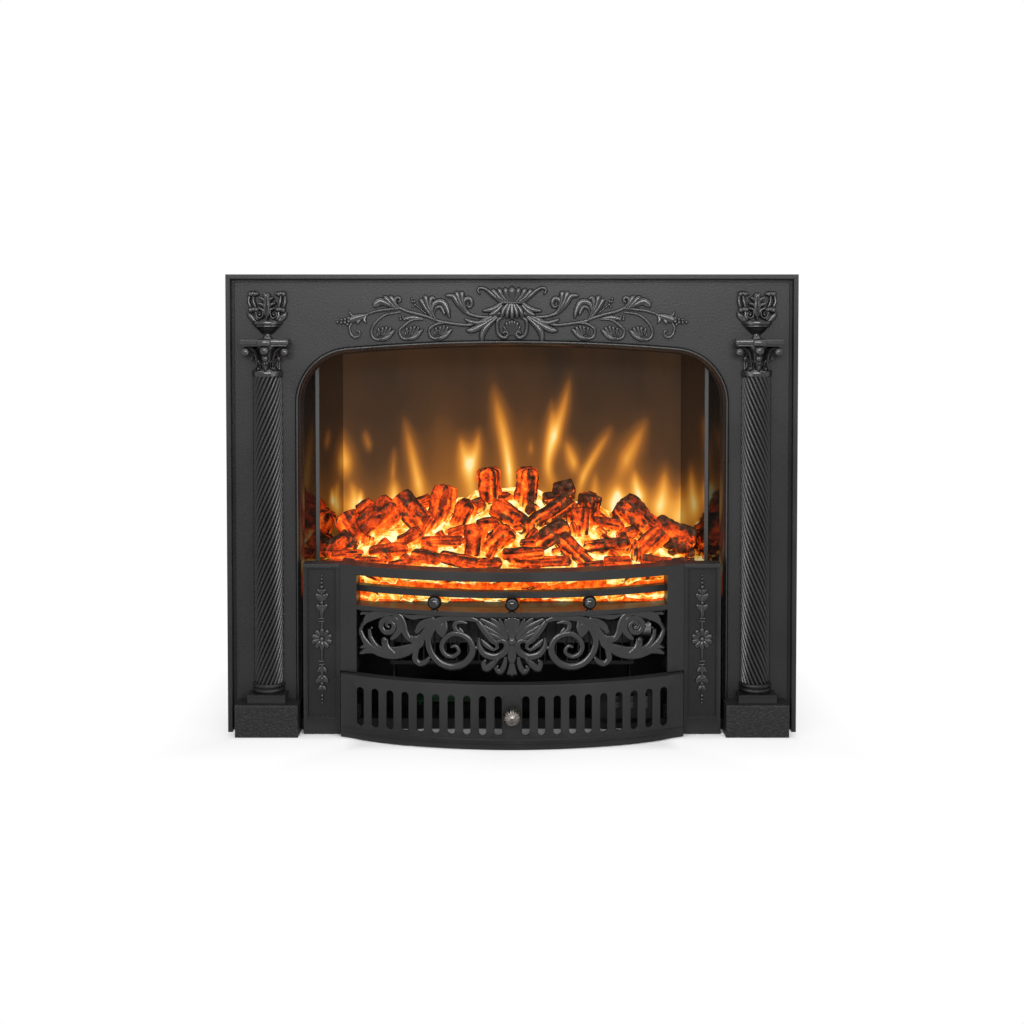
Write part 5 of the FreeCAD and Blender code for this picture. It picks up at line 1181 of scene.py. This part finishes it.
# Height of the logs against the screen behind them: x, then height over the floor
SKYLINE = [(-257, 214), (-235, 240), (-205, 262), (-175, 276), (-140, 290), (-95, 300), (-40, 318),
           (0, 322), (30, 322), (70, 305), (110, 295), (160, 288), (205, 270), (235, 246), (257, 214)]
# Logs in the enlarged view: place, heading, length, width, how charred
LOGS = [
    (710, 540, 92, 130, 88, 0.25), (847, 548, 86, 150, 80, 0.42), (530, 628, 80, 175, 92, 0.30),
    (425, 650, -50, 190, 84, 0.35), (300, 668, 40, 165, 112, 0.20), (208, 728, -60, 190, 82, 0.25),
    (105, 775, 40, 120, 105, 0.45), (330, 792, 8, 150, 62, 0.05), (414, 746, 30, 100, 72, 0.15),
    (530, 757, 3, 160, 56, 0.10), (470, 812, -6, 120, 50, 0.15), (604, 668, 66, 160, 76, 0.25),
    (660, 625, 20, 70, 60, 0.45), (655, 748, 84, 125, 84, 0.20), (738, 752, 48, 140, 78, 0.30),
    (785, 662, -32, 165, 78, 0.35), (737, 592, 0, 80, 52, 0.30), (912, 664, 33, 250, 68, 0.50),
    (920, 737, 31, 190, 74, 0.52), (985, 562, 10, 85, 66, 0.75), (958, 594, 4, 110, 54, 0.65),
    (1080, 612, 80, 85, 74, 0.62), (1050, 684, 86, 120, 80, 0.30), (1027, 790, -46, 175, 64, 0.52),
    (1146, 776, 9, 180, 66, 0.45), (1142, 692, -6, 120, 52, 0.25), (1266, 676, -42, 205, 112, 0.55),
    (1300, 768, 42, 160, 72, 0.25), (1408, 742, -20, 165, 130, 0.48), (1428, 800, 10, 110, 66, 0.60),
    (1185, 832, 0, 110, 46, 0.20), (945, 832, 4, 140, 48, 0.20), (832, 798, 2, 160, 50, 0.30),
    (832, 838, 0, 150, 40, 0.15), (590, 826, -10, 160, 48, 0.20), (692, 836, 4, 130, 44, 0.30),
    (246, 628, 30, 74, 56, 0.20), (1330, 832, -8, 120, 50, 0.25), (1086, 846, 6, 110, 44, 0.25),
    (460, 604, 20, 70, 46, 0.10), (868, 634, 60, 50, 44, 0.70), (180, 812, 4, 130, 54, 0.20),
    (262, 834, -4, 130, 46, 0.15), (390, 838, 6, 130, 44, 0.20), (1220, 728, 20, 90, 50, 0.20),
    (700, 690, 10, 90, 50, 0.15), (1450, 846, 0, 120, 60, 0.50), (60, 830, 20, 110, 70, 0.50),
    (1000, 640, 70, 90, 56, 0.35), (590, 720, 20, 80, 50, 0.10), (480, 700, 60, 90, 50, 0.10),
]


def bed_front(x):
    return np.maximum(bow_front(x, BED_SETBACK), BED_FOREMOST)


def bed_height(x, y):
    """Height of the glowing mound under the logs."""
    top = np.interp(x, *zip(*SKYLINE)) - BED_UNDER_LOGS
    front = bed_front(x)
    share = np.clip((y - front) / (BED_BACK - front), 0, 1)
    return BED_RIM + np.maximum(top - BED_RIM, 0) * share**BED_RISE


def rough(point, scale):
    return noise.noise(Vector(point) * scale)


# A log: points round it, spacing and least number of rows, facets and their turn, facing, span of its noise
LOG_AROUND = 34
LOG_PACE = 2.6
FEWEST_LOG_ROWS = 10
LOG_FACETS = (4, 5, 5, 6)
LOG_TWIST = 6.28
LOG_FACING = Vector((0, 1, 0.13))
NOISE_FIELD = 90
# Its ends: how small they close, their taper, how far they are broken, where they are broken and charred
END_CLOSED = 0.30
END_TAPER = (0.16, 0.12)
END_BROKEN = 0.10
BROKEN_END = 0.02
CHARRED_END = 0.06
# Shares of its radius by which facets, an oval, lumps, ridges and fine grain lift its bark
FACET_LIFT = 0.10
OVAL_LIFT = 0.05
LUMP_LIFT = 0.16
RIDGE_LIFT = 0.24
FINE_LIFT = 0.07
LUMP_SCALE = 0.055
FINE_SCALE = 0.26
RIDGE_AROUND = 3.4
RIDGE_ALONG = 1.2
OVAL_TWIST = 1.7
BREAK_AROUND = 3
# Its glow, and what its upper side, lumps, ridges and the bed's light add to it
LOG_GLOW = 0.33
TOP_GLOW = -0.20
LUMP_GLOW = 0.14
RIDGE_GLOW = -0.42
SHINE_GLOW = 0.36
# What its upper side, ridges and ends add to its char
TOP_CHAR = 0.24
RIDGE_CHAR = 0.75
END_CHAR = 0.14


def log_piece(clay, centre, axis, length, radius, char, seed):
    """A split, burnt log: a faceted round with bark ridges and broken ends."""
    chance = random.Random(seed)
    axis = Vector(axis).normalized()
    side = axis.cross(LOG_FACING).normalized()
    out = side.cross(axis)
    along = max(FEWEST_LOG_ROWS, int(length / LOG_PACE))
    facets = chance.choice(LOG_FACETS)
    twist = chance.random() * LOG_TWIST
    jitter = Vector((chance.random(), chance.random(), chance.random())) * NOISE_FIELD
    middle = Vector(centre)
    rings, heats, chars = [], [], []
    for row in range(along + 1):
        share = row / along
        end = min(share, 1 - share)
        whole = 0 < row < along
        narrow = 1.0 - END_TAPER[0] * max(0, END_TAPER[1] - end) / END_TAPER[1]
        for step in range(LOG_AROUND):
            angle = step / LOG_AROUND * 2 * math.pi
            spot = side * math.cos(angle) + out * math.sin(angle)
            slip = (share - 0.5) * length
            place = middle + axis * (share - 0.5) * length + spot * radius
            lumps = rough(place + jitter, LUMP_SCALE)
            ridges = rough(spot * RIDGE_AROUND + axis * share * RIDGE_ALONG + jitter, 1.0)
            fine = rough(place + jitter, FINE_SCALE)
            reach = 1 + FACET_LIFT * math.cos(facets * angle + twist)
            reach += OVAL_LIFT * math.cos(2 * angle + twist * OVAL_TWIST)
            reach += LUMP_LIFT * lumps + RIDGE_LIFT * ridges + FINE_LIFT * fine
            if end < BROKEN_END:
                slip += END_BROKEN * radius * rough(spot * BREAK_AROUND + jitter, 1.0)
            point = middle + axis * slip + spot * radius * reach * (1.0 if whole else END_CLOSED) * narrow
            up = spot.z if whole else axis.z * (1 if row else -1)
            over = (point.z - float(bed_height(point.x, point.y))) / EMBER_SHINE
            shine = min(1, max(0, 1 - over))
            rings.append(tuple(point))
            glow = LOG_GLOW + TOP_GLOW * up + LUMP_GLOW * lumps + RIDGE_GLOW * ridges
            heats.append(glow + SHINE_GLOW * shine)
            burnt = char + TOP_CHAR * max(0, up) + RIDGE_CHAR * ridges
            chars.append(burnt + (END_CHAR if end < CHARRED_END else 0))
    shape = (along + 1, LOG_AROUND)
    clay.loft(np.reshape(rings, (*shape, 3)), glow_level=np.reshape(heats, shape),
              char_level=np.reshape(chars, shape))


def make_mound(bed):
    cols = np.linspace(-BED_HALF, BED_HALF, BED_COLUMNS)
    grid, warm = [], []
    for share in np.linspace(0, 1, BED_ROWS):
        line, heat = [], []
        for x in cols:
            front = float(bed_front(x))
            y = front + share * (BED_BACK - front)
            rumple = sum(rough((x, y, level), scale) * height for height, scale, level in BED_RUMPLE)
            line.append((x, y, float(bed_height(x, y)) + rumple * min(1, share * RUMPLE_START)))
            heat.append(BED_GLOW + sum(change * rough((x, y, level), scale)
                                       for change, scale, level in BED_GLOW_CHANGE))
        grid.append(line)
        warm.append(heat)
    depth, bend, pitch, level, scale = WALL_WAVE
    wall = [[(x, y, BED_FOOT) for x, y, z in grid[0]]]
    for part in WALL_ROWS:
        wave = depth * math.sin(bend * part)
        wall.append([(x, y + wave * rough((x, part * pitch, level), scale), BED_FOOT + (z - BED_FOOT) * part)
                     for x, y, z in grid[0]])
    back = [[(x, y, BED_FOOT) for x, y, z in grid[-1]]]
    mesh = np.array(wall + grid + back)
    heat = np.array([[WALL_GLOW] * len(cols)] * len(wall) + warm + [[BACK_WALL_GLOW] * len(cols)])
    bed.loft(mesh, closed=False, caps=False, glow_level=heat, char_level=0.0)
    for side in (0, -1):
        foot = mesh[:, side].copy()
        foot[:, 2] = BED_FOOT
        bed.loft(np.array([mesh[:, side], foot]), closed=False, caps=False, **END_WALL)


# Millimetres that one pixel of the photograph covers at a depth in the bed, and that depth
BED_PIXEL = 1.3647
BED_PIXEL_AT = 50.0
# Search for the bed along a line of sight: start, step, distance from the back, height that counts as met
SIGHT_START = -55.0
SIGHT_STEP = 1.5
SIGHT_END = 8
SIGHT_MET = 1
LOG_TURN_IN = 0.35
LOG_HALF_SPAN = 250
# How far a log is drawn forward, and kept from the bed's front and back, in radii
LOG_FORWARD = 0.2
LOG_FROM_FRONT = 0.8
LOG_FROM_BACK = 1.25
LOG_SEED = 11


def lay_logs(bed, chance):
    """The logs that the photograph shows, each where its line of sight meets the mound."""
    for index, (u, v, heading, length, width, char) in enumerate(LOGS):
        y = SIGHT_START
        while y < BED_BACK - SIGHT_END:
            x, z = in_view(u, v, y)
            if z < float(bed_height(x, y)) + SIGHT_MET:
                break
            y += SIGHT_STEP
        x, z = in_view(u, v, y)
        unit = BED_PIXEL / VIEW_SCALE * (y - CAMERA_AT[1]) / (BED_PIXEL_AT - CAMERA_AT[1])
        lean = math.radians(heading)
        into = math.sin(chance.uniform(-LOG_TURN_IN, LOG_TURN_IN))
        axis = (math.cos(lean), into, math.sin(lean))
        radius = width * unit / 2
        half = length * unit / 2
        foremost = float(bed_front(x)) + radius * LOG_FROM_FRONT
        rearmost = BED_BACK - LOG_FROM_BACK * radius - abs(into) * half
        y = min(max(y - radius * LOG_FORWARD, foremost), rearmost)
        x, z = in_view(u, v, y)
        limit = LOG_HALF_SPAN - half * abs(axis[0])
        x = max(-limit, min(limit, x))
        log_piece(bed, (x, y, z), axis, length * unit, radius, char, index + LOG_SEED)


COALS = 60
COAL_SPAN = 225
# Share of the bed's depth, distance kept from its back, height over it, rise into the depth
COAL_DEEP = (0.10, 0.92)
COAL_FROM_BACK = 14
COAL_OVER = 3
COAL_INTO = 0.4
COAL_LENGTH = (13, 24)
COAL_RADIUS = (4.5, 7.5)
COAL_CHAR = (0.10, 0.40)
COAL_SEED = 700


def scatter_coals(bed, chance):
    """Small coals in the gaps between the logs."""
    for index in range(COALS):
        x = chance.uniform(-COAL_SPAN, COAL_SPAN)
        front = float(bed_front(x))
        y = front + chance.uniform(*COAL_DEEP) * (BED_BACK - COAL_FROM_BACK - front)
        turn = chance.uniform(0, math.pi)
        axis = (math.cos(turn), COAL_INTO * math.sin(turn), math.sin(turn))
        log_piece(bed, (x, y, float(bed_height(x, y)) + COAL_OVER), axis, chance.uniform(*COAL_LENGTH),
                  chance.uniform(*COAL_RADIUS), chance.uniform(*COAL_CHAR), COAL_SEED + index)


# Rows of coals along the front: height over the floor and how many
FRONT_ROWS = [(180.5, 17), (203.5, 16)]
FRONT_SPAN = 200
FRONT_SHIFT = 4
FRONT_OUT = 1.0
FRONT_TILT = 0.3
FRONT_BOW = 430
FRONT_RISE = 2.5
FRONT_LENGTH = 31
FRONT_CHANGE = (0.8, 1.2)
FRONT_RADIUS = (6.6, 8.0)
FRONT_CHAR = 0.16
FRONT_SEED = 300
BED_SEED = 7


def line_front(bed, chance):
    """Coals set along the front of the mound, behind the bars."""
    for level, count in FRONT_ROWS:
        for index in range(count):
            x = -FRONT_SPAN + 2 * FRONT_SPAN * (index + 0.5) / count
            x += chance.uniform(-FRONT_SHIFT, FRONT_SHIFT)
            y = float(bed_front(x)) + FRONT_OUT
            axis = (1, x / FRONT_BOW, chance.uniform(-FRONT_TILT, FRONT_TILT))
            z = level + chance.uniform(-FRONT_RISE, FRONT_RISE)
            log_piece(bed, (x, y, z), axis, FRONT_LENGTH * chance.uniform(*FRONT_CHANGE),
                      chance.uniform(*FRONT_RADIUS), FRONT_CHAR, FRONT_SEED + index + int(level))


def make_embers():
    bed = Clay()
    make_mound(bed)
    chance = random.Random(BED_SEED)
    lay_logs(bed, chance)
    scatter_coals(bed, chance)
    line_front(bed, chance)
    piece("ember_bed_logs", bed, "ember_resin", "insert", "ember_bed", flat=50)


make_screen()
make_embers()

# Finishes of the solids that stay

for name, made in NODES.items():
    slot_name = made.material_slots[0].material.name.split(".")[0]
    made.data.materials.clear()
    made.data.materials.append(LOOKS["plinth" if name.startswith("plinth") else slot_name])

# Studio: pale floor, white surroundings, soft lights; in metres

WHITE = (1, 1, 1, 1)
FLOOR_HALF = 9
FLOOR_PALE = [(0.3, (0.80, 0.80, 0.80)), (0.7, (0.82, 0.82, 0.82))]
FLOOR_SCALE = 3
# The footprint as two boxes, half width and front, and the back that they share
FOOTPRINT = [(0.365, -0.045), (0.205, -0.085)]
FOOT_BACK = 0.18
# How white the floor gets away from the footprint: share, then where that starts and ends
NEAR_WHITE = (0.70, -0.012, 0.010)
FAR_WHITE = (0.30, 0.010, 0.09)
# World on the object, and as it is seen
WORLD_LIGHT = 0.15
WORLD_SEEN = 1.0


def direct(tree):
    """1 on the rays that show the background itself: seen, mirrored or through glass."""
    path = node(tree, "LightPath").outputs
    shown = maths(tree, "MAXIMUM", path["Is Camera Ray"], path["Is Glossy Ray"])
    return maths(tree, "MAXIMUM", shown, path["Is Transmission Ray"])


def outside(tree, place, half, front):
    """How far a floor point lies outside a box of the footprint."""
    beside = maths(tree, "ABSOLUTE", place["X"])
    aside = maths(tree, "SUBTRACT", beside, half)
    ahead = maths(tree, "SUBTRACT", front, place["Y"])
    behind = maths(tree, "SUBTRACT", place["Y"], FOOT_BACK)
    return maths(tree, "MAXIMUM", aside, maths(tree, "MAXIMUM", ahead, behind))


def floor_material():
    """Pale and matt, with the object's shadow, and white where the background shows."""
    made, tree, _ = new_look("floor")
    tree.nodes.clear()
    matt = node(tree, "BsdfDiffuse", {"Color": ramp(tree, grain(tree, FLOOR_SCALE), FLOOR_PALE)})
    white = node(tree, "Emission", {"Color": WHITE, "Strength": 1.0})
    place = node(tree, "SeparateXYZ", {0: object_place(tree)}).outputs
    away = maths(tree, "MINIMUM", *[outside(tree, place, *box) for box in FOOTPRINT])
    near, far = [spread(tree, away, 0.0, *whitening) for whitening in (NEAR_WHITE, FAR_WHITE)]
    share = maths(tree, "MULTIPLY", direct(tree), maths(tree, "ADD", near, far))
    both = node(tree, "MixShader", {0: share, 1: matt.outputs[0], 2: white.outputs[0]})
    node(tree, "OutputMaterial", {"Surface": both.outputs[0]})
    return made


def make_floor():
    mesh = bpy.data.meshes.new("floor")
    corners = [(-1, -1), (1, -1), (1, 1), (-1, 1)]
    mesh.from_pydata([(x * FLOOR_HALF, y * FLOOR_HALF, 0) for x, y in corners], [], [(0, 1, 2, 3)])
    mesh.materials.append(floor_material())
    floor = bpy.data.objects.new("floor", mesh)
    scene.collection.objects.link(floor)


def make_world():
    world = bpy.data.worlds.new("studio")
    scene.world = world
    world.use_nodes = True
    tree = world.node_tree
    tree.nodes.clear()
    strength = spread(tree, direct(tree), WORLD_LIGHT, WORLD_SEEN, 0.0, 1.0)
    sky = node(tree, "Background", {"Color": WHITE, "Strength": strength})
    node(tree, "OutputWorld", {"Surface": sky.outputs[0]})


# Lamps: place, aim, width and height, power
COLUMN_LAMP = ((0.26, 0.50), 1.0)
LAMPS = {
    "softbox": ((0.0, -1.7, 0.95), (0, 0, 0.4), (1.6, 0.25), 28),
    "above": ((0.0, -0.34, 0.98), (0, 0, 0.45), (2.2, 0.14), 5),
    "column_left": ((-0.02, -0.27, 0.37), (-0.32, -0.27, 0.37), *COLUMN_LAMP),
    "column_right": ((0.02, -0.27, 0.37), (0.32, -0.27, 0.37), *COLUMN_LAMP),
    "rear": ((0.5, 1.7, 1.3), (0, 0.15, 0.3), (1.4, 0.8), 20),
}


def lamp(name, place, target, size, power):
    data = bpy.data.lights.new(name, "AREA")
    data.shape = "RECTANGLE"
    data.size, data.size_y = size
    data.energy = power
    made = bpy.data.objects.new(name, data)
    made.location = place
    made.rotation_euler = (Vector(target) - Vector(place)).to_track_quat("-Z", "Y").to_euler()
    made.visible_camera = False
    scene.collection.objects.link(made)


make_floor()
make_world()
for name, settings in LAMPS.items():
    lamp(name, *settings)
